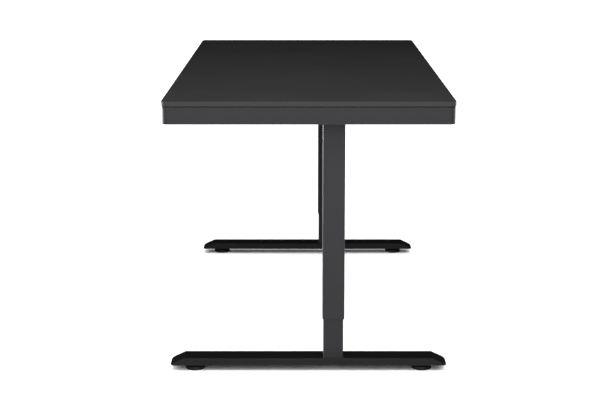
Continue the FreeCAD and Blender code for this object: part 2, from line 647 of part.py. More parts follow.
def foot():
    """Pressed steel foot, open below, with sloping ends and holes for the column's bolts."""
    def soft_edges(shape):
        rims = []
        for edge in shape.Edges:
            box = edge.BoundBox
            upright = box.XLength < 0.01 and box.YLength < 0.01
            if not upright and box.Center.z > FOOT_CLEARANCE + 0.5:
                rims.append(edge)
        return rims

    outer = foot_solid(0, 1)
    outer = outer.makeFillet(FOOT_EDGE_R, soft_edges(outer))
    shell = outer.cut(foot_solid(FOOT_SHEET, 1))
    shell.translate(Vector(COLUMN_X, 0, 0))
    hole_r = FOOT_BOLT_DIAMETER / 2 + HOLE_CLEARANCE
    return shell.cut([rod(hole_r, (x, y, FOOT_SKIN), (x, y, FOOT_TOP)) for x, y in foot_bolt_places()])


def foot_bolt_places():
    """The four bolts that hold the foot under the column."""
    half = FOOT_BOLT_SPACING / 2
    return [(COLUMN_X + sx * half, COLUMN_OFFSET_Y + sy * half) for sx in (-1, 1) for sy in (-1, 1)]


def foot_bolt_shank(x, y):
    """The part of a foot bolt above its head."""
    return rod(FOOT_BOLT_DIAMETER / 2, (x, y, FOOT_SKIN), (x, y, FOOT_TOP + BASE_PLUG_HEIGHT - 1))


def foot_fixings():
    """Four bolts up into the column's plug, and the two weld nuts that take the glides."""
    solids = []
    for x, y in foot_bolt_places():
        head = rod(FOOT_BOLT_HEAD_DIAMETER / 2, (x, y, FOOT_SKIN - FOOT_BOLT_HEAD_HEIGHT), (x, y, FOOT_SKIN))
        head = head.makeFillet(1.0, edges_where(head, lambda c: c.z < FOOT_SKIN - 1))
        solids.append(head.fuse(foot_bolt_shank(x, y)))
    for side in (-1, 1):
        start = (COLUMN_X, side * GLIDE_Y, FOOT_SKIN - GLIDE_NUT_HEIGHT)
        end = (COLUMN_X, side * GLIDE_Y, FOOT_SKIN)
        solids.append(ring(GLIDE_NUT_DIAMETER / 2, STUD_DIAMETER / 2 + RUNNING_CLEARANCE, start, end))
    return solids


def glide(side):
    """A levelling glide: a round pad with a hexagonal collar, moulded on a steel stud."""
    x, y = COLUMN_X, side * GLIDE_Y
    pad = rod(GLIDE_DIAMETER / 2, (x, y, 0), (x, y, GLIDE_PAD_HEIGHT))
    pad = pad.makeChamfer(GLIDE_CHAMFER, edges_where(pad, lambda c: c.z > GLIDE_PAD_HEIGHT - 0.01))
    collar_top = GLIDE_PAD_HEIGHT + GLIDE_COLLAR_HEIGHT
    collar = hexagon(x, y, GLIDE_COLLAR_FLATS, GLIDE_PAD_HEIGHT, collar_top)
    stud = rod(STUD_DIAMETER / 2, (x, y, GLIDE_STUD_EMBED), (x, y, FOOT_SKIN - GLIDE_RAISE - 0.5))
    return [pad.fuse(collar).cut(stud), stud]


# ---------------------------------------------------------------- drive, right-hand end
def lead_screw():
    """Screw hung from the gearbox, with a stop ring at its lower end. Its thread is drawn plain."""
    x, y = COLUMN_X, COLUMN_OFFSET_Y
    thread = rod(SCREW_DIAMETER / 2, (x, y, SCREW_BOTTOM), (x, y, BEARING_BOTTOM))
    stop = rod(SCREW_STOP_DIAMETER / 2, (x, y, SCREW_BOTTOM), (x, y, SCREW_BOTTOM + SCREW_STOP_HEIGHT))
    stop = stop.makeChamfer(1.0, edges_where(stop, lambda c: c.z < SCREW_BOTTOM + 0.01))
    journal = rod(SCREW_JOURNAL / 2, (x, y, BEARING_BOTTOM), (x, y, BEARING_TOP))
    spindle = rod(SCREW_SPINDLE / 2, (x, y, BEARING_TOP), (x, y, COVER_TOP - 1))
    return thread.multiFuse([stop, journal, spindle]).removeSplitter()


def thrust_bearing():
    """Ball thrust bearing that carries the desk's weight: two washers and the balls between."""
    x, y = COLUMN_X, COLUMN_OFFSET_Y
    bore_r = SCREW_JOURNAL / 2 + RUNNING_CLEARANCE
    outer_r = BEARING_OUTER / 2
    low = ring(outer_r, bore_r, (x, y, BEARING_BOTTOM), (x, y, BEARING_BOTTOM + BEARING_WASHER))
    high = ring(outer_r, bore_r, (x, y, BEARING_TOP - BEARING_WASHER), (x, y, BEARING_TOP))
    ball_r = (BEARING_HEIGHT - 2 * BEARING_WASHER) / 2
    track_r = (outer_r + bore_r) / 2
    middle = BEARING_BOTTOM + BEARING_HEIGHT / 2
    balls = []
    for i in range(BEARING_BALLS):
        turn = 2 * math.pi * i / BEARING_BALLS
        place = Vector(x + track_r * math.cos(turn), y + track_r * math.sin(turn), middle)
        balls.append(Part.makeSphere(ball_r, place))
    return [low, high] + balls


def tooth_outline(width_at_pitch, pitch_r, low_r, high_r, half_angle):
    """Half the width of a straight-sided tooth or gap at two radii, as (radius, half width) pairs."""
    slope = math.tan(math.radians(half_angle))
    return [(r, width_at_pitch / 2 + (pitch_r - r) * slope) for r in (low_r, high_r)]


def worm_wheel():
    """Bronze wheel pressed on the screw's spindle. Its teeth lean with the worm's thread."""
    top_r = WHEEL_PITCH_R + TOOTH_ADDENDUM
    z0, z1 = WORM_Z - WHEEL_WIDTH / 2, WORM_Z + WHEEL_WIDTH / 2
    disc = ring(top_r, SCREW_SPINDLE / 2, (0, 0, z0), (0, 0, z1))
    gap = WORM_PITCH / 2 + TOOTH_BACKLASH / 2
    spread = -(PRESSURE_ANGLE + 90 / WHEEL_TEETH)
    root_r = WHEEL_PITCH_R - TOOTH_DEDENDUM
    (r0, w0), (r1, w1) = tooth_outline(gap, WHEEL_PITCH_R, root_r, top_r + 1, spread)
    lean = WORM_PITCH / (2 * math.pi * WORM_PITCH_R)
    over = WHEEL_WIDTH / 2 + 1
    base = [(-w0, -r0), (w0, -r0), (w1, -r1), (-w1, -r1), (-w0, -r0)]
    base = Part.makePolygon([Vector(across, out, 0) for across, out in base])
    cutter = Part.Face(base).extrude(Vector(2 * over * lean, 0, 2 * over))
    cutter.translate(Vector(-over * lean, 0, WORM_Z - over))
    cutters = []
    for i in range(WHEEL_TEETH):
        one = cutter.copy()
        one.rotate(Vector(0, 0, 0), Vector(0, 0, 1), (i + 0.5) * 360 / WHEEL_TEETH)
        cutters.append(one)
    wheel = disc.cut(cutters)
    wheel.translate(Vector(COLUMN_X, COLUMN_OFFSET_Y, 0))
    return wheel


def motor_shaft():
    """Motor shaft with its rotor and the worm cut on its end."""
    root_r = WORM_PITCH_R - TOOTH_DEDENDUM
    width = WORM_PITCH / 2 - TOOTH_BACKLASH / 2
    outline = tooth_outline(width, WORM_PITCH_R, root_r - 0.5, WORM_PITCH_R + TOOTH_ADDENDUM, PRESSURE_ANGLE)
    (r0, w0), (r1, w1) = outline
    base = [Vector(r0, 0, -w0), Vector(r1, 0, -w1), Vector(r1, 0, w1), Vector(r0, 0, w0), Vector(r0, 0, -w0)]
    helix = Part.makeHelix(WORM_PITCH, WORM_PITCH * WORM_TURNS, WORM_PITCH_R)
    thread = Part.Wire(helix).makePipeShell([Part.makePolygon(base)], True, True)
    thread.translate(Vector(0, 0, WORM_PITCH * (0.5 - WORM_TURNS // 2 - 1)))
    thread = along_x(thread, COLUMN_X, WORM_Y, WORM_Z)

    def bar(radius, x0, x1):
        return rod(radius, (x0, WORM_Y, WORM_Z), (x1, WORM_Y, WORM_Z))

    core = bar(root_r, COLUMN_X - WORM_HALF, COLUMN_X + WORM_HALF)
    shaft = bar(MOTOR_SHAFT_DIAMETER / 2, MOTOR_REAR_X - MOTOR_CAP_WALL, COLUMN_X + CASE_HALF_X - CASE_WALL)
    middle = (MOTOR_X + MOTOR_REAR_X) / 2
    rotor = bar(ROTOR_DIAMETER / 2, middle - ROTOR_LENGTH / 2, middle + ROTOR_LENGTH / 2)
    return core.multiFuse([thread, shaft, rotor])


def case_body_block(z0, z1):
    """Plan of the gearbox between two levels: round the wheel, and out past the worm."""
    front = WORM_Y - WORM_BORE_R - CASE_WALL
    back = COLUMN_OFFSET_Y + WHEEL_PITCH_R + TOOTH_ADDENDUM + GEAR_CLEARANCE + CASE_WALL
    centre_y = (front + back) / 2
    return rounded_bar(COLUMN_X, centre_y, 2 * CASE_HALF_X, back - front, 4, z0, z1)


def gearbox_case():
    """Die-cast gearbox: a flange on the channel's web, a pocket for the wheel and a bore for the worm."""
    x, y = COLUMN_X, COLUMN_OFFSET_Y
    flange_x = 2 * (CHANNEL_INSIDE - CASE_SIDE_CLEARANCE)
    flange_top = CASE_BOTTOM + CASE_FLANGE
    flange = rounded_bar(x, y, flange_x, COLUMN_FLANGE_LENGTH, 5, CASE_BOTTOM, flange_top)
    body = flange.fuse(case_body_block(flange_top, COVER_BOTTOM))
    pocket_r = WHEEL_PITCH_R + TOOTH_ADDENDUM + GEAR_CLEARANCE
    pocket_floor = WORM_Z - WHEEL_WIDTH / 2 - GEAR_CLEARANCE
    worm_end = x + WORM_HALF + GEAR_CLEARANCE
    shaft_r = MOTOR_SHAFT_DIAMETER / 2 + RUNNING_CLEARANCE
    cuts = [
        rod(BEARING_OUTER / 2, (x, y, CASE_BOTTOM), (x, y, BEARING_TOP)),
        rod(SCREW_SPINDLE / 2 + HOLE_CLEARANCE, (x, y, BEARING_TOP), (x, y, pocket_floor)),
        rod(pocket_r, (x, y, pocket_floor), (x, y, COVER_BOTTOM)),
        rod(WORM_BORE_R, (x - CASE_HALF_X, WORM_Y, WORM_Z), (worm_end, WORM_Y, WORM_Z)),
        rod(shaft_r, (worm_end, WORM_Y, WORM_Z), (x + CASE_HALF_X - CASE_WALL + 1, WORM_Y, WORM_Z)),
    ]
    cuts += [bolt_hole(bx, by, CASE_BOTTOM, flange_top) for bx, by in column_bolt_places()]
    # A large motor sits lower, and its boss then needs a notch in the flange.
    boss_room_r = MOTOR_BOSS_R + CASE_SIDE_CLEARANCE
    if WORM_Z - boss_room_r < flange_top:
        cuts.append(rod(boss_room_r, (x - CHANNEL_INSIDE, WORM_Y, WORM_Z), (x - CASE_HALF_X, WORM_Y, WORM_Z)))
    return body.cut(cuts)


def gearbox_cover():
    """Lid of the gearbox, which also steadies the top of the screw."""
    spindle_r = SCREW_SPINDLE / 2 + RUNNING_CLEARANCE
    column = (COLUMN_X, COLUMN_OFFSET_Y)
    lid = case_body_block(COVER_BOTTOM, COVER_TOP)
    lid = lid.makeFillet(1.0, edges_where(lid, lambda c: c.z > COVER_TOP - 0.01))
    return lid.cut(rod(spindle_r, (*column, COVER_BOTTOM), (*column, COVER_TOP)))


def motor_can():
    """Motor housing, with a boss through the channel's wall to the gearbox."""
    def bar(radius, x0, x1):
        return rod(radius, (x0, WORM_Y, WORM_Z), (x1, WORM_Y, WORM_Z))

    can = bar(MOTOR_DIAMETER / 2, MOTOR_REAR_X, MOTOR_X)
    can = can.makeFillet(2.0, edges_where(can, lambda c: c.x > MOTOR_X - 0.01))
    can = can.fuse(bar(MOTOR_BOSS_R, MOTOR_X, COLUMN_X - CASE_HALF_X))
    inside = bar(MOTOR_DIAMETER / 2 - MOTOR_WALL, MOTOR_REAR_X, MOTOR_X - MOTOR_FRONT)
    shaft_r = MOTOR_SHAFT_DIAMETER / 2 + RUNNING_CLEARANCE
    return can.cut([inside, bar(shaft_r, MOTOR_X - MOTOR_FRONT, COLUMN_X - CASE_HALF_X)])


def motor_end_cap():
    """Moulded cap on the back of the motor, with a seat for the shaft's end."""
    def bar(radius, x0, x1):
        return rod(radius, (x0, WORM_Y, WORM_Z), (x1, WORM_Y, WORM_Z))

    cap = bar(MOTOR_DIAMETER / 2, MOTOR_CAP_X, MOTOR_REAR_X)
    cap = cap.makeFillet(3.0, edges_where(cap, lambda c: c.x < MOTOR_CAP_X + 0.01))
    shaft_r = MOTOR_SHAFT_DIAMETER / 2 + RUNNING_CLEARANCE
    return cap.cut(bar(shaft_r, MOTOR_REAR_X - MOTOR_CAP_WALL - 1, MOTOR_REAR_X))


# ---------------------------------------------------------------- control box
def socket_ys():
    """The two socket positions on each end of the control box."""
    return [BOX_CENTRE_Y - SOCKET_SPACING / 2, BOX_CENTRE_Y + SOCKET_SPACING / 2]


def box_base():
    """Pressed plate of the control box, with four ears screwed up to the board."""
    z0, z1 = BOARD_UNDER - BOX_WALL, BOARD_UNDER
    plate = rounded_bar(0, BOX_CENTRE_Y, BOX_LENGTH, BOX_DEPTH, BOX_CORNER_R, z0, z1)
    ears = []
    for x in (-1, 1):
        centre = x * (BOX_LENGTH / 2 - BOX_EAR)
        size_y = BOX_DEPTH + 2 * BOX_EAR
        ears.append(rounded_bar(centre, BOX_CENTRE_Y, 1.4 * BOX_EAR, size_y, BOX_CORNER_R, z0, z1))
    holes = [pilot_hole(x, y, z0) for x, y in box_screw_places()]
    return plate.multiFuse(ears).removeSplitter().cut(holes)


def box_cover():
    """Moulded cover of the control box, open towards the board, with windows for its sockets."""
    top = BOARD_UNDER - BOX_WALL
    outer = rounded_bar(0, BOX_CENTRE_Y, BOX_LENGTH, BOX_DEPTH, BOX_CORNER_R, BOX_BOTTOM, top)
    outer = outer.makeFillet(1.5, edges_where(outer, lambda c: c.z < BOX_BOTTOM + 0.01))
    inside_x, inside_y = BOX_LENGTH - 2 * BOX_WALL, BOX_DEPTH - 2 * BOX_WALL
    inside = rounded_bar(0, BOX_CENTRE_Y, inside_x, inside_y, BOX_CORNER_R - 1, BOX_BOTTOM + BOX_WALL, top)
    cuts = [inside]
    for x, y in socket_places():
        x_pair = sorted((x, x - math.copysign(3 * BOX_WALL, x)))
        cuts.append(block(*x_pair, y - SOCKET_SIZE / 2, y + SOCKET_SIZE / 2, *socket_levels()))
    half_y, half_z = INLET_WIDTH / 2, INLET_HEIGHT / 2
    inlet_y = socket_ys()[0]
    end = -BOX_LENGTH / 2
    levels = (BOX_MIDDLE - half_z, BOX_MIDDLE + half_z)
    cuts.append(block(end, end + 2 * BOX_WALL, inlet_y - half_y, inlet_y + half_y, *levels))
    return outer.cut(cuts)


def socket_levels():
    """Bottom and top of the sockets."""
    return BOX_MIDDLE - SOCKET_SIZE / 3, BOX_MIDDLE + SOCKET_SIZE / 3


def socket_places():
    """End face and position across the desk of the three low voltage sockets."""
    front, back = socket_ys()
    half = BOX_LENGTH / 2
    return [(half, front), (half, back), (-half, back)]


def control_board():
    """Circuit board on the control box's plate, with its sockets, transformer and capacitors."""
    top = BOARD_UNDER - BOX_WALL - BOARD_CLEARANCE
    low = top - CIRCUIT_BOARD
    half_x = BOX_LENGTH / 2 - BOX_WALL - 2
    half_y = BOX_DEPTH / 2 - BOX_WALL - 2
    inlet_room = INLET_DEPTH + 2
    board = block(-half_x + inlet_room, half_x, BOX_CENTRE_Y - half_y, BOX_CENTRE_Y + half_y, low, top)
    pieces = [board]
    for x, y in socket_places():
        inner = x - math.copysign(2 * SOCKET_SIZE + inlet_room, x)
        face_pair = sorted((x + math.copysign(SOCKET_PROUD, x), inner))
        stem_pair = sorted((inner, inner + math.copysign(SOCKET_SIZE, x)))
        y_pair = (y - SOCKET_SIZE / 2, y + SOCKET_SIZE / 2)
        pieces.append(block(*face_pair, *y_pair, *socket_levels()))
        pieces.append(block(*stem_pair, *y_pair, BOX_MIDDLE, low))
    floor = BOX_BOTTOM + BOX_WALL + 1
    pieces.append(block(-40, 0, BOX_CENTRE_Y - 20, BOX_CENTRE_Y + 15, floor + 2, low))
    for i in range(4):
        place = (18 + 18 * i, BOX_CENTRE_Y + 22)
        pieces.append(rod(7, (*place, floor), (*place, low)))
    return pieces[0].multiFuse(pieces[1:]).removeSplitter()


def mains_inlet():
    """Three-pin appliance inlet in the left end of the control box, with its pins."""
    y = socket_ys()[0]
    face = -BOX_LENGTH / 2
    half_y, half_z = INLET_WIDTH / 2, INLET_HEIGHT / 2
    body = block(face, face + INLET_DEPTH, y - half_y, y + half_y, BOX_MIDDLE - half_z, BOX_MIDDLE + half_z)
    rim_y, rim_z = half_y + INLET_FLANGE, half_z + INLET_FLANGE
    rim = block(face - INLET_FLANGE, face, y - rim_y, y + rim_y, BOX_MIDDLE - rim_z, BOX_MIDDLE + rim_z)
    rim = rim.makeFillet(1.5, edges_where(rim, lambda c: abs(c.x - face + INLET_FLANGE / 2) < 0.01))
    well_y, well_z = half_y - INLET_WALL, half_z - INLET_WALL
    well = block(
        face - INLET_FLANGE,
        face + INLET_DEPTH - INLET_WALL,
        y - well_y,
        y + well_y,
        BOX_MIDDLE - well_z,
        BOX_MIDDLE + well_z,
    )
    well_top = BOX_MIDDLE + well_z - 0.01
    well = well.makeChamfer(3.0, edges_where(well, lambda c: c.z > well_top and abs(c.y - y) > 1))
    pins = []
    for offset_y, offset_z in ((-7, 0), (0, 3), (7, 0)):
        pin_y, pin_z = y + offset_y, BOX_MIDDLE + offset_z
        pins.append(block(face + 3, face + INLET_DEPTH - 1, pin_y - 1, pin_y + 1, pin_z - 2, pin_z + 2))
    return body.fuse(rim).cut(well).multiFuse(pins).removeSplitter()


# ---------------------------------------------------------------- keypad
def keypad_case_length():
    """Length of the keypad's case, behind its bezel."""
    return KEYPAD_LENGTH - 2 * KEYPAD_CASE_BORDER


def keypad_case_height():
    """Height of the keypad's case, behind its bezel."""
    return KEYPAD_HEIGHT - 0.7 * 2 * KEYPAD_CASE_BORDER


def key_x(index):
    """Position of a key along the desk. The display is to the left of the first one."""
    room = keypad_case_length() - 2 * KEYPAD_CASE_WALL
    keys_length = KEY_PITCH * len(KEYS)
    start = KEYPAD_X + room / 2 - keys_length
    return start + KEY_PITCH * (index + 0.5)


def display_x():
    """Position of the display's middle along the desk."""
    left = KEYPAD_X - keypad_case_length() / 2 + KEYPAD_CASE_WALL
    right = key_x(0) - KEY_PITCH / 2
    return (left + right) / 2


def display_size():
    """The display's length, no more than the room beside the keys."""
    room = key_x(0) - KEY_PITCH / 2 - (KEYPAD_X - keypad_case_length() / 2 + KEYPAD_CASE_WALL)
    return min(DISPLAY_LENGTH, room - 2)


def keypad_bezel():
    """Thin moulded plate on the apron's front face, with openings for the keys and the display."""
    plate = rounded_face(KEYPAD_LENGTH, KEYPAD_HEIGHT, KEYPAD_CORNER_R).extrude(Vector(0, 0, BEZEL_THICKNESS))
    opening = KEY_SIZE + 2 * KEY_CLEARANCE
    cuts = []
    for i in range(len(KEYS)):
        hole = rounded_face(opening, opening, KEY_CORNER_R).extrude(Vector(0, 0, BEZEL_THICKNESS))
        hole.translate(Vector(key_x(i) - KEYPAD_X, 0, 0))
        cuts.append(hole)
    window = rounded_face(display_size(), DISPLAY_HEIGHT, 1).extrude(Vector(0, 0, BEZEL_THICKNESS))
    window.translate(Vector(display_x() - KEYPAD_X, 0, 0))
    return facing_front(plate.cut(cuts + [window]), KEYPAD_X, APRON_FACE_Y, KEYPAD_MIDDLE)


def keypad_case():
    """Moulded box behind the bezel, through the window in the apron."""
    half_x, half_z = keypad_case_length() / 2, keypad_case_height() / 2
    y0, y1 = APRON_FACE_Y, APRON_FACE_Y + KEYPAD_CASE_DEPTH
    z0, z1 = KEYPAD_MIDDLE - half_z, KEYPAD_MIDDLE + half_z
    outer = block(KEYPAD_X - half_x, KEYPAD_X + half_x, y0, y1, z0, z1)
    outer = outer.makeFillet(1.5, edges_where(outer, lambda c: c.y > y1 - 0.01))
    wall = KEYPAD_CASE_WALL
    inside = block(
        KEYPAD_X - half_x + wall,
        KEYPAD_X + half_x - wall,
        y0,
        y1 - wall,
        KEYPAD_MIDDLE - half_z + wall,
        KEYPAD_MIDDLE + half_z - wall,
    )
    return outer.cut(inside)


def keypad_board():
    """Circuit board with a switch behind each key and the display's module."""
    half_x = keypad_case_length() / 2 - KEYPAD_CASE_WALL - 0.5
    half_z = keypad_case_height() / 2 - KEYPAD_CASE_WALL - 0.5
    front = KEY_BACK_Y + KEY_TRAVEL + 0.2 + SWITCH_HEIGHT
    back = front + CIRCUIT_BOARD
    middle = KEYPAD_MIDDLE
    pieces = [block(KEYPAD_X - half_x, KEYPAD_X + half_x, front, back, middle - half_z, middle + half_z)]
    half = SWITCH_SIZE / 2
    for i in range(len(KEYS)):
        x = key_x(i)
        pieces.append(block(x - half, x + half, front - SWITCH_HEIGHT, front, middle - half, middle + half))
    half_display = display_size() / 2 - 1
    x, half_high = display_x(), DISPLAY_HEIGHT / 2 - 1
    low, high = middle - half_high, middle + half_high
    module_front = APRON_FACE_Y + DISPLAY_THICKNESS
    pieces.append(block(x - half_display, x + half_display, module_front, front, low, high))
    return pieces[0].multiFuse(pieces[1:]).removeSplitter()


def keypad_display():
    """Clear window of the display, level with the bezel's face."""
    front = rounded_face(display_size(), DISPLAY_HEIGHT, 1).extrude(Vector(0, 0, BEZEL_THICKNESS))
    back = rounded_face(display_size() + 1, DISPLAY_HEIGHT + 1, 1).extrude(Vector(0, 0, -DISPLAY_THICKNESS))
    return facing_front(front.fuse(back), display_x(), APRON_FACE_Y, KEYPAD_MIDDLE)


def key(index):
    """A push key with a lip that stops it against the back of the bezel."""
    cap = rounded_face(KEY_SIZE, KEY_SIZE, KEY_CORNER_R).extrude(Vector(0, 0, KEY_DEPTH))
    cap = cap.makeFillet(0.4, edges_where(cap, lambda c: c.z > KEY_DEPTH - 0.01))
    lip_size = KEY_SIZE + 2 * KEY_LIP
    lip = rounded_face(lip_size, lip_size, KEY_CORNER_R).extrude(Vector(0, 0, KEY_LIP))
    lip.translate(Vector(0, 0, KEY_DEPTH - KEY_PROUD - BEZEL_THICKNESS - KEY_LIP - 0.1))
    return facing_front(cap.fuse(lip), key_x(index), KEY_BACK_Y, KEYPAD_MIDDLE)


# ---------------------------------------------------------------- leads and their clips
def cable(points, diameter):
    """A round lead along straight runs joined by tangent arcs, each as large as its runs allow."""
    path = [Vector(*p) for p in points]
    edges, here = [], path[0]
    for before, corner, after in zip(path, path[1:], path[2:]):
        run_in, run_out = corner - before, after - corner
        turn = run_in.getAngle(run_out)
        tangent = ARC_SHARE * min(run_in.Length, run_out.Length)
        start = corner - run_in.normalize() * tangent
        end = corner + run_out.normalize() * tangent
        radius = tangent / math.tan(turn / 2)
        inward = (run_out - run_in).normalize()
        middle = corner + inward * (math.hypot(radius, tangent) - radius)
        edges.append(Part.LineSegment(here, start).toShape())
        edges.append(Part.Arc(start, middle, end).toShape())
        here = end
    edges.append(Part.LineSegment(here, path[-1]).toShape())
    wire = Part.Wire(edges)
    along = path[1] - path[0]
    circle = Part.Wire(Part.makeCircle(diameter / 2, path[0], along))
    return wire.makePipeShell([circle], True, True)


def motor_lead_route():
    """The right-hand motor's lead: out of the end cap, up under the board, and down to its socket."""
    level = LEAD_LEVEL - MOTOR_LEAD_DIAMETER / 2
    start = MOTOR_CAP_X
    end, socket_y = BOX_LENGTH / 2 + SOCKET_PROUD, socket_ys()[1]
    span = start - end
    return [
        (start, WORM_Y, WORM_Z),
        (start - 0.06 * span, WORM_Y, WORM_Z),
        (start - 0.16 * span, WORM_Y + 3, level - 3),
        (start - 0.30 * span, WORM_Y + 12, level),
        (start - 0.48 * span, WORM_Y + 21, level),
        (start - 0.66 * span, WORM_Y + 22, level),
        (start - 0.82 * span, socket_y + 2, level - 2),
        (end + 0.07 * span, socket_y, BOX_MIDDLE),
        (end, socket_y, BOX_MIDDLE),
    ]


def keypad_lead_route():
    """The keypad's lead: out of its case, back under the board over the front rail, and to its socket."""
    level = LEAD_LEVEL - KEYPAD_LEAD_DIAMETER / 2
    start_y = APRON_FACE_Y + KEYPAD_CASE_DEPTH
    end, socket_y = BOX_LENGTH / 2 + SOCKET_PROUD, socket_ys()[0]
    across, back = KEYPAD_X - end, socket_y - start_y
    return [
        (KEYPAD_X, start_y, KEYPAD_MIDDLE),
        (KEYPAD_X, start_y + 0.06 * back, KEYPAD_MIDDLE),
        (KEYPAD_X - 0.01 * across, start_y + 0.15 * back, level - 2),
        (KEYPAD_X - 0.04 * across, start_y + 0.30 * back, level),
        (KEYPAD_X - 0.10 * across, start_y + 0.47 * back, level),
        (KEYPAD_X - 0.20 * across, start_y + 0.64 * back, level),
        (KEYPAD_X - 0.34 * across, start_y + 0.80 * back, level),
        (KEYPAD_X - 0.52 * across, start_y + 0.92 * back, level),
        (KEYPAD_X - 0.72 * across, start_y + 0.98 * back, level),
        (KEYPAD_X - 0.88 * across, socket_y + 1, level - 3),
        (end + 0.05 * across, socket_y, BOX_MIDDLE),
        (end, socket_y, BOX_MIDDLE),
    ]


def control_leads():
    """Both motors' leads and the keypad's."""
    motor = cable(motor_lead_route(), MOTOR_LEAD_DIAMETER)
    return [motor, mirrored(motor), cable(keypad_lead_route(), KEYPAD_LEAD_DIAMETER)]


def clip(start, end, diameter):
    """A stick-on saddle clip over a level run of lead, square to the run."""
    a, b = Vector(*start), Vector(*end)
    middle = (a + b) * 0.5
    radius = diameter / 2 + CLIP_CLEARANCE
    shell_r = radius + CLIP_WALL
    drop = BOARD_UNDER - middle.z
    saddle = rod(shell_r, (0, -CLIP_WIDTH / 2, 0), (0, CLIP_WIDTH / 2, 0))
    saddle = saddle.fuse(block(-shell_r, shell_r, -CLIP_WIDTH / 2, CLIP_WIDTH / 2, 0, drop))
    foot_half = shell_r + CLIP_FOOT
    saddle = saddle.fuse(block(-foot_half, foot_half, -CLIP_WIDTH / 2, CLIP_WIDTH / 2, drop - 0.8, drop))
    saddle = saddle.cut(rod(radius, (0, -CLIP_WIDTH, 0), (0, CLIP_WIDTH, 0)))
    run = b - a
    saddle.rotate(Vector(0, 0, 0), Vector(0, 0, 1), math.degrees(math.atan2(-run.x, run.y)))
    saddle.translate(middle)
    return saddle


def lead_clips():
    """Clips on the level runs of every lead."""
    motor, pad = motor_lead_route(), keypad_lead_route()
    clips = [clip(motor[i], motor[i + 1], MOTOR_LEAD_DIAMETER) for i in (3, 4)]
    clips += [mirrored(c) for c in clips]
    return clips + [clip(pad[i], pad[i + 1], KEYPAD_LEAD_DIAMETER) for i in (3, 5, 7)]


# ---------------------------------------------------------------- writing the parts
def save(name, shape):
    """Writes one node. A list of solids becomes one node of separate solids."""
    solids = []
    for item in shape if isinstance(shape, list) else [shape]:
        solids += item.Solids
    whole = solids[0] if len(solids) == 1 else Part.makeCompound(solids)
    if not whole.isValid():
        raise RuntimeError("the shape of " + name + " isn't valid")
    whole.exportStep(os.path.join("parts", name + ".step"))


def save_pair(name, shape):
    """Writes a right-hand piece and its mirror image at the left end."""
    items = shape if isinstance(shape, list) else [shape]
    save(name + "_right", items)
    save(name + "_left", [mirrored(item) for item in items])


def main():
    os.makedirs("parts", exist_ok=True)
    save("tabletop", tabletop())
    save("top_gasket", top_gasket())
    save("apron", apron())
    save("top_screws", top_screws())
    save("rail_front", rail(RAIL_YS["front"]))
    save("rail_back", rail(RAIL_YS["back"]))
    bolts = frame_bolts()
    save("frame_bolts", bolts + [mirrored(b) for b in bolts])
    bearing = thrust_bearing()
    save("thrust_bearings", bearing + [mirrored(b) for b in bearing])
    save_pair("head_channel", head_channel())
    save_pair("outer_tube", outer_tube())
    save_pair("lower_sleeve", lower_sleeve())
    save_pair("inner_tube", inner_tube())
    save_pair("upper_guide", upper_guide())
    save_pair("nut_carrier", nut_carrier())
    save_pair("lead_nut", lead_nut())
    save_pair("lead_screw", lead_screw())
    save_pair("worm_wheel", worm_wheel())
    save_pair("motor_shaft", motor_shaft())
    save_pair("gearbox_case", gearbox_case())
    save_pair("gearbox_cover", gearbox_cover())
    save_pair("motor_can", motor_can())
    save_pair("motor_end_cap", motor_end_cap())
    save_pair("foot", foot())
    save_pair("foot_fixings", foot_fixings())
    save_pair("glide_front", glide(-1))
    save_pair("glide_back", glide(1))
    save("control_box_base", box_base())
    save("control_box_cover", box_cover())
    save("control_board", control_board())
    save("mains_inlet", mains_inlet())
    save("keypad_bezel", keypad_bezel())
    save("keypad_case", keypad_case())
    save("keypad_board", keypad_board())
    save("keypad_display", keypad_display())
    for index, name in enumerate(KEYS):
        save("key_" + name, key(index))
    save("control_leads", control_leads())
    save("lead_clips", lead_clips())
    print("travel down", TRAVEL_DOWN, "travel up", TRAVEL_UP)


main()
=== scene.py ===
import math

import bmesh
import bpy
from mathutils import Matrix, Vector


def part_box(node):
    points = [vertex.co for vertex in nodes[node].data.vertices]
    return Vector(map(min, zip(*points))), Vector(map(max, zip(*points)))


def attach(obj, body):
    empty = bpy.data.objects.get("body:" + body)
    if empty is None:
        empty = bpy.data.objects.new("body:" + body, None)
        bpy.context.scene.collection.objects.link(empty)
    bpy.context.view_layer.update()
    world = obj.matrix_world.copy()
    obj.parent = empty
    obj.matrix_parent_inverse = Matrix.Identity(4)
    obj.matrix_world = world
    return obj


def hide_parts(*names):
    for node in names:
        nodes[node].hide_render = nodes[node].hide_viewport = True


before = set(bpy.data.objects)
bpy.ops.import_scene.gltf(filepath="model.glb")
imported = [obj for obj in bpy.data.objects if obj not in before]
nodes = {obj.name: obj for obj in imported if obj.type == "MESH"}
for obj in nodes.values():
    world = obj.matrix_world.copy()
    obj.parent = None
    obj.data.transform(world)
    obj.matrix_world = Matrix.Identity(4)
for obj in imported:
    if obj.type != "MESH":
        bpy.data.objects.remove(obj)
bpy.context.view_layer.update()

scene = bpy.context.scene

# -------------------- camera
# A long lens looks along the desk from its right-hand end, at chest height and a little down.
lens = bpy.data.cameras.new("studio_lens")
lens.sensor_width = 36.0
lens.lens = 82.25
lens.shift_x = -0.007
lens.clip_end = 200.0
camera = bpy.data.objects.new("studio_camera", lens)
camera.location = (3.8993, -0.0107, 1.1776)
camera.rotation_euler = (math.radians(90.0 - 12.59), 0.0, math.radians(90.0))
scene.collection.objects.link(camera)
scene.camera = camera

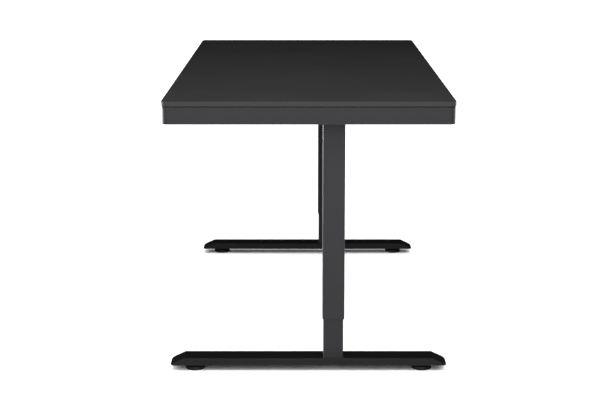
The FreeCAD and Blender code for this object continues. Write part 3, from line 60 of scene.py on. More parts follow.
# -------------------- studio floor and surround
# A large sheet of pale card. It is seen bright but throws only a little light back up, and it can
# be seen and lit through from below, so that the desk's underside shows.
sheet = bmesh.new()
bmesh.ops.create_grid(sheet, x_segments=1, y_segments=1, size=60.0)
floor_mesh = bpy.data.meshes.new("studio_floor")
sheet.to_mesh(floor_mesh)
sheet.free()
floor = bpy.data.objects.new("studio_floor", floor_mesh)
scene.collection.objects.link(floor)

card = bpy.data.materials.new("pale_card")
card.use_nodes = True
card_tree = card.node_tree
card_tree.nodes.clear()
card_out = card_tree.nodes.new("ShaderNodeOutputMaterial")
card_seen = card_tree.nodes.new("ShaderNodeBsdfDiffuse")
card_seen.inputs["Color"].default_value = (0.95, 0.95, 0.95, 1.0)
card_bounce = card_tree.nodes.new("ShaderNodeBsdfDiffuse")
card_bounce.inputs["Color"].default_value = (0.1, 0.1, 0.1, 1.0)
card_clear = card_tree.nodes.new("ShaderNodeBsdfTransparent")
light_path = card_tree.nodes.new("ShaderNodeLightPath")
face_side = card_tree.nodes.new("ShaderNodeNewGeometry")
by_ray = card_tree.nodes.new("ShaderNodeMixShader")
by_side = card_tree.nodes.new("ShaderNodeMixShader")
lit_through = card_tree.nodes.new("ShaderNodeMath")
lit_through.operation = "MAXIMUM"
card_tree.links.new(light_path.outputs["Is Camera Ray"], by_ray.inputs[0])
card_tree.links.new(card_bounce.outputs[0], by_ray.inputs[1])
card_tree.links.new(card_seen.outputs[0], by_ray.inputs[2])
card_tree.links.new(face_side.outputs["Backfacing"], lit_through.inputs[0])
card_tree.links.new(light_path.outputs["Is Shadow Ray"], lit_through.inputs[1])
card_tree.links.new(lit_through.outputs[0], by_side.inputs[0])
card_tree.links.new(by_ray.outputs[0], by_side.inputs[1])
card_tree.links.new(card_clear.outputs[0], by_side.inputs[2])
card_tree.links.new(by_side.outputs[0], card_out.inputs["Surface"])
floor_mesh.materials.append(card)

surround = bpy.data.worlds.new("studio_surround")
surround.use_nodes = True
sky_tree = surround.node_tree
sky_out = sky_tree.nodes["World Output"]
sky_dim = sky_tree.nodes["Background"]
sky_dim.inputs["Color"].default_value = (1.0, 1.0, 1.0, 1.0)
sky_dim.inputs["Strength"].default_value = 0.03
sky_seen = sky_tree.nodes.new("ShaderNodeBackground")
sky_seen.inputs["Color"].default_value = (1.0, 1.0, 1.0, 1.0)
sky_seen.inputs["Strength"].default_value = 1.0
sky_ray = sky_tree.nodes.new("ShaderNodeLightPath")
sky_mix = sky_tree.nodes.new("ShaderNodeMixShader")
sky_tree.links.new(sky_ray.outputs["Is Camera Ray"], sky_mix.inputs[0])
sky_tree.links.new(sky_dim.outputs[0], sky_mix.inputs[1])
sky_tree.links.new(sky_seen.outputs[0], sky_mix.inputs[2])
sky_tree.links.new(sky_mix.outputs[0], sky_out.inputs["Surface"])
scene.world = surround
scene.view_settings.view_transform = "Standard"


# -------------------- studio lights
# Soft panels stand overhead, in front, at both sides, low behind each side, at the far end, and under
# the see-through card. Small low ones lift the near foot and column, and a lamp lights the card.
def soft_panel(name, place, target, size_x, size_y, power):
    """A soft studio panel at a place, facing a target."""
    light = bpy.data.lights.new(name, "AREA")
    light.shape = "RECTANGLE"
    light.size, light.size_y = size_x, size_y
    light.energy = power
    holder = bpy.data.objects.new(name, light)
    holder.location = place
    aim = Vector(target) - Vector(place)
    holder.rotation_euler = aim.to_track_quat("-Z", "Y").to_euler()
    scene.collection.objects.link(holder)
    return holder


soft_panel("overhead_panel", (1.1, 0.0, 1.9), (0.45, 0.0, 0.7), 1.8, 1.8, 25.0)
soft_panel("front_panel", (4.3, 0.0, 1.75), (0.6, 0.0, 0.35), 3.2, 1.6, 62.0)
soft_panel("left_panel", (0.6, -3.2, 1.2), (0.2, 0.0, 0.5), 2.2, 2.0, 26.0)
soft_panel("right_panel", (0.6, 3.2, 1.2), (0.2, 0.0, 0.5), 2.2, 2.0, 9.0)
under_panel = soft_panel("under_panel", (0.0, 0.0, -2.4), (0.0, 0.0, 0.0), 3.0, 2.0, 110.0)
left_rim = soft_panel("left_rim_panel", (-0.9, -2.4, 0.36), (0.7, -0.3, 0.36), 2.4, 0.6, 110.0)
right_rim = soft_panel("right_rim_panel", (-0.9, 2.4, 0.36), (0.7, 0.3, 0.36), 2.4, 0.6, 40.0)
low_panel = soft_panel("low_front_panel", (3.0, 0.0, 0.22), (0.6, 0.0, 0.1), 2.4, 0.3, 29.0)
end_panel = soft_panel("far_end_panel", (-3.2, 0.0, 0.3), (-0.6, 0.0, 0.3), 2.6, 0.8, 46.0)
column_panel = soft_panel("column_panel", (3.0, 0.0, 0.3), (0.6, 0.0, 0.3), 2.4, 0.3, 7.0)

card_lamp = bpy.data.lights.new("card_lamp", "SUN")
card_lamp.energy = 5.2
card_lamp.angle = math.radians(120.0)
card_lamp_holder = bpy.data.objects.new("card_lamp", card_lamp)
scene.collection.objects.link(card_lamp_holder)
NEAR_COLUMN = ("outer_tube_right", "inner_tube_right", "lower_sleeve_right")
FAR_COLUMN = ("outer_tube_left", "inner_tube_left", "lower_sleeve_left")


def gather(name, members):
    """A collection of objects for a light to fall on or be shaded by."""
    group = bpy.data.collections.new(name)
    for member in members:
        group.objects.link(nodes[member] if isinstance(member, str) else member)
    return group


low_pieces = gather("feet_and_glides", ("foot_left", "foot_right"))
low_lit = gather("lit_by_low_panel", ["foot_right"])
not_from_below = gather("not_lit_from_below", FAR_COLUMN)
for entry in not_from_below.collection_objects:
    entry.light_linking.link_state = "EXCLUDE"
rim_pieces = gather("lit_by_rim_panels", ("tabletop", "apron", *NEAR_COLUMN))
far_end = gather("lit_by_far_end_panel", ("apron", "outer_tube_right", "inner_tube_right", *FAR_COLUMN))
card_lamp_holder.light_linking.blocker_collection = low_pieces
for light, receivers in (
    (card_lamp_holder, gather("lit_by_card_lamp", [floor])), (low_panel, low_lit),
    (under_panel, not_from_below),
    (column_panel, gather("lit_by_column_panel", NEAR_COLUMN)), (end_panel, far_end),
    (left_rim, rim_pieces), (right_rim, rim_pieces),
):
    light.light_linking.receiver_collection = receivers


# -------------------- tabletop
# A dense wood-based board under a matt black laminate, with a paler edge band round its sides and
# a plain backing sheet below. Its arrises are eased, and wood screws hold it to the frame.
def new_effect(name, values, outputs):
    """A node group with named values in and named values out, with its two end nodes."""
    group = bpy.data.node_groups.new(name, "ShaderNodeTree")
    for label, value in values.items():
        made = group.interface.new_socket(name=label, in_out="INPUT", socket_type="NodeSocketFloat")
        made.default_value = value
    for label in outputs:
        group.interface.new_socket(name=label, in_out="OUTPUT", socket_type="NodeSocketFloat")
    return group, group.nodes.new("NodeGroupInput"), group.nodes.new("NodeGroupOutput")


def sum_node(tree, operation, first, second, clamp=False):
    """A maths node on two sockets or numbers, and its result."""
    node = tree.nodes.new("ShaderNodeMath")
    node.operation = operation
    node.use_clamp = clamp
    for slot_number, given in enumerate((first, second)):
        if isinstance(given, (int, float)):
            node.inputs[slot_number].default_value = given
        else:
            tree.links.new(given, node.inputs[slot_number])
    return node.outputs[0]


def range_node(tree, given, low, high, to_low=0.0, to_high=1.0):
    """A socket's range from low to high, spread over another range."""
    node = tree.nodes.new("ShaderNodeMapRange")
    for label, value in (("From Min", low), ("From Max", high), ("To Min", to_low), ("To Max", to_high)):
        node.inputs[label].default_value = value
    tree.links.new(given, node.inputs["Value"])
    return node.outputs["Result"]


def noise_node(tree, place, scale, detail=2.0):
    """A soft noise at a scale per metre, which may be a socket."""
    node = tree.nodes.new("ShaderNodeTexNoise")
    node.inputs["Detail"].default_value = detail
    tree.links.new(place, node.inputs["Vector"])
    if isinstance(scale, (int, float)):
        node.inputs["Scale"].default_value = scale
    else:
        tree.links.new(scale, node.inputs["Scale"])
    return node.outputs["Fac"]


def make_grain_effect():
    """Fine grain with sparse flecks, over broad soft smudges."""
    names = ("Height", "Fleck", "Smudge")
    group, given, result = new_effect("fine_grain", {"Grain": 900.0, "Smudges": 5.0}, names)
    place = group.nodes.new("ShaderNodeTexCoord").outputs["Object"]
    fine = noise_node(group, place, given.outputs["Grain"], 3.0)
    swell = noise_node(group, place, sum_node(group, "MULTIPLY", given.outputs["Grain"], 0.09))
    height = sum_node(group, "ADD", sum_node(group, "MULTIPLY", fine, 0.7),
                      sum_node(group, "MULTIPLY", swell, 0.3))
    smudge = noise_node(group, place, given.outputs["Smudges"], 4.0)
    group.links.new(height, result.inputs["Height"])
    group.links.new(range_node(group, fine, 0.58, 0.72), result.inputs["Fleck"])
    group.links.new(range_node(group, smudge, 0.3, 0.7), result.inputs["Smudge"])
    return group


def make_edge_effect():
    """Where a sharp edge has been rubbed: strongest on the edge, and patchy along it."""
    group, given, result = new_effect("rubbed_edges", {"Reach": 0.001, "Gain": 3.0}, ("Edge",))
    bevel = group.nodes.new("ShaderNodeBevel")
    bevel.samples = 4
    group.links.new(given.outputs["Reach"], bevel.inputs["Radius"])
    flat = group.nodes.new("ShaderNodeNewGeometry")
    turn = group.nodes.new("ShaderNodeVectorMath")
    turn.operation = "DOT_PRODUCT"
    group.links.new(bevel.outputs["Normal"], turn.inputs[0])
    group.links.new(flat.outputs["Normal"], turn.inputs[1])
    rounding = sum_node(group, "SUBTRACT", 1.0, turn.outputs["Value"])
    strong = sum_node(group, "MULTIPLY", rounding, given.outputs["Gain"], clamp=True)
    place = group.nodes.new("ShaderNodeTexCoord").outputs["Object"]
    patches = range_node(group, noise_node(group, place, 70.0, 3.0), 0.35, 0.65, 0.35, 1.0)
    group.links.new(sum_node(group, "MULTIPLY", strong, patches, clamp=True), result.inputs["Edge"])
    return group


grain_effect = make_grain_effect()
edge_effect = make_edge_effect()


def mix_colours(tree, share, first, second):
    """A blend of two colours or colour sockets by a share socket."""
    node = tree.nodes.new("ShaderNodeMix")
    node.data_type = "RGBA"
    tree.links.new(share, node.inputs["Factor"])
    for label, given in (("A", first), ("B", second)):
        target = [s for s in node.inputs if s.name == label and s.type == "RGBA"][0]
        if isinstance(given, tuple):
            target.default_value = (*given, 1.0)
        else:
            tree.links.new(given, target)
    return [s for s in node.outputs if s.type == "RGBA"][0]


def place_effect(tree, group, **values):
    """A node group placed in a material with its own values."""
    node = tree.nodes.new("ShaderNodeGroup")
    node.node_tree = group
    for label, value in values.items():
        node.inputs[label].default_value = value
    return node.outputs


def new_finish(name, dark, pale, rough, grain=900.0, relief=0.00003, edge=None, reach=0.001,
               metallic=0.0, specular=0.5, smudges=5.0, coat=0.0):
    """A finish from two shades, a range of roughness, fine grain and rubbed edges."""
    finish = bpy.data.materials.new(name)
    finish.use_nodes = True
    tree = finish.node_tree
    shader = tree.nodes["Principled BSDF"]
    shader.inputs["Metallic"].default_value = metallic
    shader.inputs["Specular IOR Level"].default_value = specular
    shader.inputs["Coat Weight"].default_value = coat
    grains = place_effect(tree, grain_effect, Grain=grain, Smudges=smudges)
    shade = sum_node(tree, "ADD", sum_node(tree, "MULTIPLY", grains["Smudge"], 0.6),
                     sum_node(tree, "MULTIPLY", grains["Fleck"], 0.4), clamp=True)
    colour = mix_colours(tree, shade, dark, pale)
    if edge:
        rubbed = place_effect(tree, edge_effect, Reach=reach)["Edge"]
        colour = mix_colours(tree, sum_node(tree, "MULTIPLY", rubbed, 0.5), colour, edge)
    tree.links.new(colour, shader.inputs["Base Color"])
    roughness = range_node(tree, grains["Smudge"], 0.0, 1.0, rough[0], rough[1])
    tree.links.new(roughness, shader.inputs["Roughness"])
    bump = tree.nodes.new("ShaderNodeBump")
    bump.inputs["Distance"].default_value = relief
    tree.links.new(grains["Height"], bump.inputs["Height"])
    tree.links.new(bump.outputs["Normal"], shader.inputs["Normal"])
    return finish


def dress(finish, *names):
    """Gives CAD nodes their finish."""
    for name in names:
        mesh = nodes[name].data
        mesh.materials.clear()
        mesh.materials.append(finish)


def split_at_level(finish, level, colour):
    """Gives a finish another colour wherever the piece is below a level."""
    tree = finish.node_tree
    axes = tree.nodes.new("ShaderNodeSeparateXYZ")
    tree.links.new(tree.nodes.new("ShaderNodeTexCoord").outputs["Object"], axes.inputs[0])
    below = sum_node(tree, "LESS_THAN", axes.outputs["Z"], level)
    base_colour = tree.nodes["Principled BSDF"].inputs["Base Color"]
    blend = mix_colours(tree, below, base_colour.links[0].from_socket, colour)
    tree.links.new(blend, base_colour)


BOARD_LAMINATE = (0.029, 0.029, 0.0292)
BOARD_LAMINATE_FLECK = (0.037, 0.037, 0.0372)
BOARD_EDGE_BAND = (0.06, 0.06, 0.0605)
BOARD_BACKING = (0.011, 0.0105, 0.01)
BOARD_ARRIS = 0.0013

laminate = new_finish(
    "black_laminate", BOARD_LAMINATE, BOARD_LAMINATE_FLECK, (0.52, 0.62), grain=1100.0, relief=0.00002,
    specular=0.3, smudges=3.0,
)
board_low, board_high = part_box("tabletop")
split_at_level(laminate, board_high.z - 0.5 * BOARD_ARRIS, BOARD_EDGE_BAND)
split_at_level(laminate, board_low.z + 0.5 * BOARD_ARRIS, BOARD_BACKING)
dress(laminate, "tabletop")

# -------------------- gasket
# Closed-cell foam strip, stuck along the apron's top flange. It stops the steel buzzing against the
# board, and shows as a dark seam.
# The foam's colour is set paler than black foam: painted light that lifts the shade in the recessed seam.
foam_with_painted_light = new_finish(
    "closed_cell_foam_painted_light", (0.06, 0.06, 0.06), (0.084, 0.084, 0.084), (0.85, 0.95), grain=700.0, relief=0.0004,
    specular=0.2, smudges=20.0,
)
dress(foam_with_painted_light, "top_gasket")


# -------------------- apron
# Sheet steel, folded to a channel section, welded at its corners into a ring, ground flush and
# powder coated dark grey. The coat has a fine pebble and thins a little along the folds.
column_coat = new_finish(
    "dark_powder_coat", (0.036, 0.035, 0.041), (0.043, 0.042, 0.048), (0.46, 0.58), grain=1300.0,
    relief=0.00003, edge=(0.075, 0.074, 0.08), reach=0.0008, specular=0.4,
)
dress(column_coat, "apron")


# -------------------- wood screws
# Pan-headed wood screws with a cross recess, black zinc plated. They hold the board from below,
# through the column heads, the apron's flange and the control box's ears.
def solids_in(name):
    """The lowest and highest corners of each separate solid in a CAD node, in order of place."""
    copy = bmesh.new()
    copy.from_mesh(nodes[name].data)
    bmesh.ops.remove_doubles(copy, verts=copy.verts, dist=1e-5)
    unseen = set(copy.verts)
    found = []
    while unseen:
        queue = [unseen.pop()]
        reached = list(queue)
        while queue:
            vert = queue.pop()
            for edge in vert.link_edges:
                other = edge.other_vert(vert)
                if other in unseen:
                    unseen.remove(other)
                    queue.append(other)
                    reached.append(other)
        low = [min(v.co[i] for v in reached) for i in range(3)]
        high = [max(v.co[i] for v in reached) for i in range(3)]
        found.append((tuple(round(c, 5) for c in low), tuple(round(c, 5) for c in high)))
    copy.free()
    return [(Vector(low), Vector(high)) for low, high in sorted(found)]


def set_ring(verts, ring):
    """Moves verts to a ring of (radius, height), or (half its width across flats, height, 6)."""
    for vert in verts:
        turn = math.atan2(vert.co.y, vert.co.x)
        radius = ring[0]
        if len(ring) == 3:
            radius /= math.cos(turn % math.radians(60) - math.radians(30))
        vert.co = (radius * math.cos(turn), radius * math.sin(turn), ring[1])


def grow_rings(shape, edges, rings):
    """Extrudes a loop of edges through rings, and returns the last loop."""
    for ring in rings:
        grown = bmesh.ops.extrude_edge_only(shape, edges=edges)["geom"]
        new_verts = {g for g in grown if isinstance(g, bmesh.types.BMVert)}
        edges = [g for g in grown if isinstance(g, bmesh.types.BMEdge) and set(g.verts) <= new_verts]
        set_ring(new_verts, ring)
    return edges


def turned(rings, segments=24, hollow=False):
    """A turned shape about +Z, closed at its ends, or back on itself where it is hollow."""
    shape = bmesh.new()
    bmesh.ops.create_circle(shape, cap_ends=False, radius=1.0, segments=segments)
    first = list(shape.edges)
    set_ring(list(shape.verts), rings[0])
    last = grow_rings(shape, first, rings[1:])
    if hollow:
        bmesh.ops.bridge_loops(shape, edges=first + last)
    else:
        bmesh.ops.contextual_create(shape, geom=first)
        bmesh.ops.contextual_create(shape, geom=last)
    return shape


def cross_headed(head_r, head_height, shank_r, length):
    """A pan-headed screw about +Z, with its recessed face at the origin and its point below."""
    screw = bmesh.new()
    bmesh.ops.create_grid(screw, x_segments=5, y_segments=5, size=1.0)
    spacing = {1.0: 0.56, 0.6: 0.46, 0.2: 0.12}
    for vert in screw.verts:
        for i in (0, 1):
            share = spacing[round(abs(vert.co[i]), 1)]
            vert.co[i] = math.copysign(share * head_r, vert.co[i])
    arm, waist = 0.47 * head_r, 0.13 * head_r
    cross = []
    for face in screw.faces:
        middle = face.calc_center_median()
        across, along = sorted((abs(middle.x), abs(middle.y)))
        if across < waist and along < arm:
            cross.append(face)
    bmesh.ops.inset_region(screw, faces=cross, thickness=0.03 * head_r, depth=-0.55 * head_height,
                           use_even_offset=True, use_boundary=True)
    square = [edge for edge in screw.edges if edge.is_boundary]
    bmesh.ops.create_circle(screw, cap_ends=False, radius=0.84 * head_r, segments=20)
    rim = [edge for edge in screw.edges if edge.is_wire]
    bmesh.ops.bridge_loops(screw, edges=square + rim)
    rings = [(0.95 * head_r, -0.16 * head_height), (head_r, -0.45 * head_height), (head_r, -head_height),
             (shank_r, -head_height), (shank_r, -0.8 * length), (0.1 * shank_r, -length)]
    last = grow_rings(screw, rim, rings)
    bmesh.ops.contextual_create(screw, geom=last)
    return screw


def repeated(shape, places):
    """One shape with a copy of the given one at each place."""
    pattern = bpy.data.meshes.new("pattern")
    shape.to_mesh(pattern)
    shape.free()
    whole = bmesh.new()
    for place in places:
        before = len(whole.verts)
        whole.from_mesh(pattern)
        whole.verts.ensure_lookup_table()
        bmesh.ops.transform(whole, matrix=place, verts=whole.verts[before:])
    bpy.data.meshes.remove(pattern)
    return whole


def finished(name, shape, finish, body, slot, *replaced, sharp=35.0):
    """Makes a piece of a shape, smooth but for its sharp edges, and fixes it to its body."""
    bmesh.ops.recalc_face_normals(shape, faces=shape.faces)
    mesh = bpy.data.meshes.new(name)
    shape.to_mesh(mesh)
    shape.free()
    mesh.polygons.foreach_set("use_smooth", [True] * len(mesh.polygons))
    mesh.set_sharp_from_angle(angle=math.radians(sharp))
    mesh.materials.append(finish)
    piece = bpy.data.objects.new(name, mesh)
    scene.collection.objects.link(piece)
    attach(piece, body)
    if replaced:
        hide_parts(*replaced)
    return piece


def at(x, y, z):
    """A place in the desk's frame."""
    return Matrix.Translation((x, y, z))


WOOD_SCREW_HEAD_R = 0.004
WOOD_SCREW_HEAD_HEIGHT = 0.0025
WOOD_SCREW_SHANK_R = 0.0019
FACING_DOWN = Matrix.Rotation(math.pi, 4, "X")

black_zinc = new_finish(
    "black_zinc_plate", (0.055, 0.055, 0.06), (0.085, 0.083, 0.088), (0.3, 0.42), grain=2200.0,
    relief=0.00001, edge=(0.24, 0.24, 0.25), reach=0.0004, metallic=0.9,
)
wood_screws = solids_in("top_screws")
screw_length = wood_screws[0][1].z - wood_screws[0][0].z
screw_places = [at((low.x + high.x) / 2, (low.y + high.y) / 2, low.z) @ FACING_DOWN
                for low, high in wood_screws]
screws = repeated(cross_headed(WOOD_SCREW_HEAD_R, WOOD_SCREW_HEAD_HEIGHT, WOOD_SCREW_SHANK_R, screw_length),
                  screw_places)
finished("wood_screws", screws, black_zinc, "top", "plated_steel", "top_screws")


# -------------------- long rails and column heads
# Two rectangular tubes run between the column heads, each welded to an end plate. The heads are
# pressed steel channels, flanged against the board. All are powder coated like the apron.
dress(column_coat, "rail_front", "rail_back", "head_channel_left", "head_channel_right")


def weld_bead(half_a, half_b, corner, leg, ripple, segments=144):
    """A rippled fillet weld about +Z round a rounded rectangle, against a plate above it."""
    def outward(vert, distance, height):
        turn = math.atan2(vert.co.y, vert.co.x)
        reach = 4.0 * max(half_a, half_b)
        flat_a, flat_b = half_a - corner, half_b - corner
        core = Vector((max(-flat_a, min(flat_a, reach * math.cos(turn))),
                       max(-flat_b, min(flat_b, reach * math.sin(turn)))))
        away = (Vector((reach * math.cos(turn), reach * math.sin(turn))) - core).normalized()
        spot = core + away * (corner + distance)
        return Vector((spot.x, spot.y, height)), turn

    bead = bmesh.new()
    bmesh.ops.create_circle(bead, cap_ends=False, radius=1.0, segments=segments)
    first = edges = list(bead.edges)
    for vert in bead.verts:
        vert.co, _ = outward(vert, -0.2 * leg, -leg)
    for distance, height in ((0.12 * leg, -0.98 * leg), (0.62 * leg, -0.62 * leg),
                             (0.98 * leg, -0.12 * leg), (-0.2 * leg, 0.0)):
        grown = bmesh.ops.extrude_edge_only(bead, edges=edges)["geom"]
        new_verts = {g for g in grown if isinstance(g, bmesh.types.BMVert)}
        edges = [g for g in grown if isinstance(g, bmesh.types.BMEdge) and set(g.verts) <= new_verts]
        for vert in new_verts:
            turn = math.atan2(vert.co.y, vert.co.x)
            rippled = height < -0.5 * leg and distance > 0.3 * leg
            wave = ripple * math.sin(turn * segments / 6.0) if rippled else 0.0
            vert.co, _ = outward(vert, distance + wave, height - wave)
    bmesh.ops.bridge_loops(bead, edges=first + edges)
    return bead


WELD_LEG = 0.0032
WELD_RIPPLE = 0.0002
RAIL_CORNER = 0.003
RAIL_PLATE = 0.003
RAIL_WIDTH = 0.026

rail_welds = []
for rail in ("rail_front", "rail_back"):
    low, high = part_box(rail)
    middle_y, middle_z = (low.y + high.y) / 2, (low.z + high.z) / 2
    for end in (-1, 1):
        plate_x = end * (high.x - RAIL_PLATE)
        turn = Matrix.Rotation(end * math.pi / 2, 4, "Y")
        rail_welds.append(at(plate_x, middle_y, middle_z) @ turn)
rail_half_z = (high.z - low.z) / 2
rail_half_y = 0.5 * RAIL_WIDTH
rail_bead = weld_bead(rail_half_z, rail_half_y, RAIL_CORNER, 0.8 * WELD_LEG, WELD_RIPPLE, segments=96)
finished("rail_welds", repeated(rail_bead, rail_welds), column_coat, "top", "painted_steel", sharp=60.0)


# -------------------- frame bolts
# Button-headed socket bolts hold each column up to its head, and hexagon bolts hold the rails' end
# plates. All are black zinc plated steel, with plain nuts.
def threads(radius, depth, start, end, pitch):
    """The rings of a coarse screw thread, from one level to another."""
    turns = max(1, int(abs(end - start) / pitch))
    step = (end - start) / turns
    rings = []
    for i in range(turns):
        rings.append((radius, start + (i + 0.25) * step))
        rings.append((radius - depth, start + (i + 0.75) * step))
    return rings


BOLT_PITCH = 0.001
BOLT_THREAD_DEPTH = 0.00045
bolt_r = 0.003


def button_bolt(length, head_r, head_height):
    """A button-headed bolt about +Z with a hexagon socket: its head's face is up, its end down."""
    rings = [(0.36 * head_r, -0.6 * head_height, 6), (0.36 * head_r, 0.0, 6), (0.55 * head_r, 0.0),
             (0.8 * head_r, -0.18 * head_height), (0.95 * head_r, -0.55 * head_height),
             (head_r, -0.85 * head_height),
             (head_r, -head_height), (bolt_r, -head_height)]
    rings += threads(bolt_r, BOLT_THREAD_DEPTH, -0.45 * length, -length + 0.0006, BOLT_PITCH)
    return turned(rings + [(0.75 * bolt_r, -length)])


def hexagon_bolt(length, half_flats, head_height):
    """A hexagon-headed bolt about +Z: its head's face is up, and its end down."""
    rings = [(0.86 * half_flats, 0.0), (0.97 * half_flats, -0.0005, 6), (half_flats, -0.0009, 6),
             (half_flats, -head_height, 6),
             (bolt_r, -head_height)]
    rings += threads(bolt_r, BOLT_THREAD_DEPTH, -0.45 * length, -length + 0.0006, BOLT_PITCH)
    return turned(rings + [(0.75 * bolt_r, -length)])


def hexagon_nut(half_flats, height, bore_r):
    """A plain nut about +Z, from the origin up, with both its faces chamfered."""
    rings = [(bore_r, 0.0003), (1.05 * bore_r, 0.0), (0.9 * half_flats, 0.0), (half_flats, 0.0008, 6),
             (half_flats, height - 0.0008, 6), (0.9 * half_flats, height), (1.05 * bore_r, height),
             (bore_r, height - 0.0003)]
    return turned(rings, hollow=True)


def facing_x(side):
    """Turns +Z to face along the desk, to the right or the left."""
    return Matrix.Rotation(side * math.pi / 2, 4, "Y")


def combined(shapes):
    """One shape with all the given ones in it."""
    whole = bmesh.new()
    for shape in shapes:
        joined = bpy.data.meshes.new("joined")
        shape.to_mesh(joined)
        shape.free()
        whole.from_mesh(joined)
        bpy.data.meshes.remove(joined)
    return whole


kinds = {"upright bolt": [], "upright nut": [], "level bolt": [], "level nut": []}
for low, high in solids_in("frame_bolts"):
    size, middle = high - low, (low + high) / 2
    upright = abs(size.x - size.y) < 0.003 and abs(size.x - size.z) > 0.002 and abs(size.y - size.z) > 0.002
    kind = ("upright " if upright else "level ") + ("bolt" if max(size) > 0.0125 else "nut")
    side = 1 if middle.x > 0 else -1
    if kind == "upright bolt":
        place = at(middle.x, middle.y, low.z) @ FACING_DOWN
    elif kind == "upright nut":
        place = at(middle.x, middle.y, low.z)
    elif kind == "level bolt":
        place = at(high.x if side > 0 else low.x, middle.y, middle.z) @ facing_x(side)
    else:
        place = at(low.x, middle.y, middle.z) @ facing_x(1)
    kinds[kind].append((place, size))
assert all(len(found) == 8 for found in kinds.values()), {kind: len(found) for kind, found in kinds.items()}
upright_length = kinds["upright bolt"][0][1].z
level_length = kinds["level bolt"][0][1].x
BOLT_HEAD_R, BOLT_HEAD_HEIGHT = 0.0055, 0.0033
nut_half, nut_height = 0.005, kinds["upright nut"][0][1].z
bolt_shapes = {
    "upright bolt": button_bolt(upright_length, BOLT_HEAD_R, BOLT_HEAD_HEIGHT),
    "upright nut": hexagon_nut(nut_half, nut_height, bolt_r),
    "level bolt": hexagon_bolt(level_length, nut_half, BOLT_HEAD_HEIGHT),
    "level nut": hexagon_nut(nut_half, nut_height, bolt_r),
}
bolts = combined([repeated(shape, [place for place, _ in kinds[kind]]) for kind,
                  shape in bolt_shapes.items()])
finished("frame_bolts_and_nuts", bolts, black_zinc, "top", "plated_steel", "frame_bolts")


# -------------------- outer tubes
# Upper tube of each column: square steel tube with round corners, welded all round under the flange
# that bolts to the column head, then powder coated.
dress(column_coat, "outer_tube_left", "outer_tube_right")

TUBE_CORNER = 0.004
FLANGE_THICKNESS = 0.004

sleeve_low, sleeve_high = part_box("lower_sleeve_right")
tube_half = (sleeve_high.x - sleeve_low.x) / 2 + 0.0003
column_x, column_y = (sleeve_low.x + sleeve_high.x) / 2, (sleeve_low.y + sleeve_high.y) / 2
flange_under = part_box("outer_tube_right")[1].z - FLANGE_THICKNESS
tube_welds = [at(side * column_x, column_y, flange_under) for side in (-1, 1)]
tube_bead = weld_bead(tube_half, tube_half, TUBE_CORNER, WELD_LEG, WELD_RIPPLE)
finished("column_welds", repeated(tube_bead, tube_welds), column_coat, "top", "painted_steel", sharp=60.0)

# -------------------- inner tubes
# Lower tube of each column. It slides in the outer tube, so its coat is the same but carries faint
# upright polish marks from the guides.
inner_coat = new_finish(
    "sliding_tube_coat", (0.035, 0.034, 0.04), (0.041, 0.04, 0.046), (0.4, 0.5), grain=1300.0,
    relief=0.000025, edge=(0.07, 0.069, 0.075), reach=0.0008, specular=0.4,
)
inner_tree = inner_coat.node_tree
inner_shader = inner_tree.nodes["Principled BSDF"]
stretch = inner_tree.nodes.new("ShaderNodeMapping")
stretch.inputs["Scale"].default_value = (900.0, 900.0, 6.0)
inner_tree.links.new(inner_tree.nodes.new("ShaderNodeTexCoord").outputs["Object"], stretch.inputs["Vector"])
rubbing = range_node(inner_tree, noise_node(inner_tree, stretch.outputs[0], 1.0, 2.0), 0.35, 0.75, -0.05,
                     0.05)
plain_roughness = inner_shader.inputs["Roughness"].links[0].from_socket
inner_tree.links.new(sum_node(inner_tree, "ADD", plain_roughness, rubbing), inner_shader.inputs["Roughness"])
dress(inner_coat, "inner_tube_left", "inner_tube_right")

# -------------------- guides and nuts
# Sleeves, caps, carriers and nuts moulded in a slippery black plastic. The sleeve's lip shows under
# the end of the outer tube.
guide_plastic = new_finish(
    "slippery_moulding", (0.024, 0.024, 0.025), (0.032, 0.032, 0.033), (0.38, 0.52), grain=600.0,
    relief=0.00002, specular=0.45,
)
for side in ("_left", "_right"):
    dress(guide_plastic, "lower_sleeve" + side, "upper_guide" + side, "nut_carrier" + side, "lead_nut" + side)


# -------------------- lead screws and bearings
# Rolled screws of ground steel, lightly oiled, each hung on a ball thrust bearing. The thread's
# flanks show as close bright bands.
ground_steel = new_finish(
    "ground_steel", (0.48, 0.48, 0.5), (0.64, 0.64, 0.66), (0.18, 0.32), grain=1500.0, relief=0.00001,
    metallic=1.0, smudges=30.0,
)
dress(ground_steel, "thrust_bearings", "motor_shaft_left", "motor_shaft_right")

SCREW_PITCH = 0.004
threaded_steel = new_finish(
    "threaded_steel", (0.46, 0.46, 0.48), (0.6, 0.6, 0.62), (0.2, 0.34), grain=1500.0, relief=0.00001,
    metallic=1.0, smudges=30.0,
)
thread_tree = threaded_steel.node_tree
bands = thread_tree.nodes.new("ShaderNodeTexWave")
bands.bands_direction = "Z"
bands.inputs["Scale"].default_value = math.pi / (10.0 * SCREW_PITCH)
thread_tree.links.new(thread_tree.nodes.new("ShaderNodeTexCoord").outputs["Object"], bands.inputs["Vector"])
grooves = thread_tree.nodes.new("ShaderNodeBump")
grooves.inputs["Distance"].default_value = 0.0008
thread_tree.links.new(bands.outputs["Fac"], grooves.inputs["Height"])
fine_bump = thread_tree.nodes["Bump"]
thread_tree.links.new(fine_bump.outputs["Normal"], grooves.inputs["Normal"])
thread_tree.links.new(grooves.outputs["Normal"], thread_tree.nodes["Principled BSDF"].inputs["Normal"])
dress(threaded_steel, "lead_screw_left", "lead_screw_right")

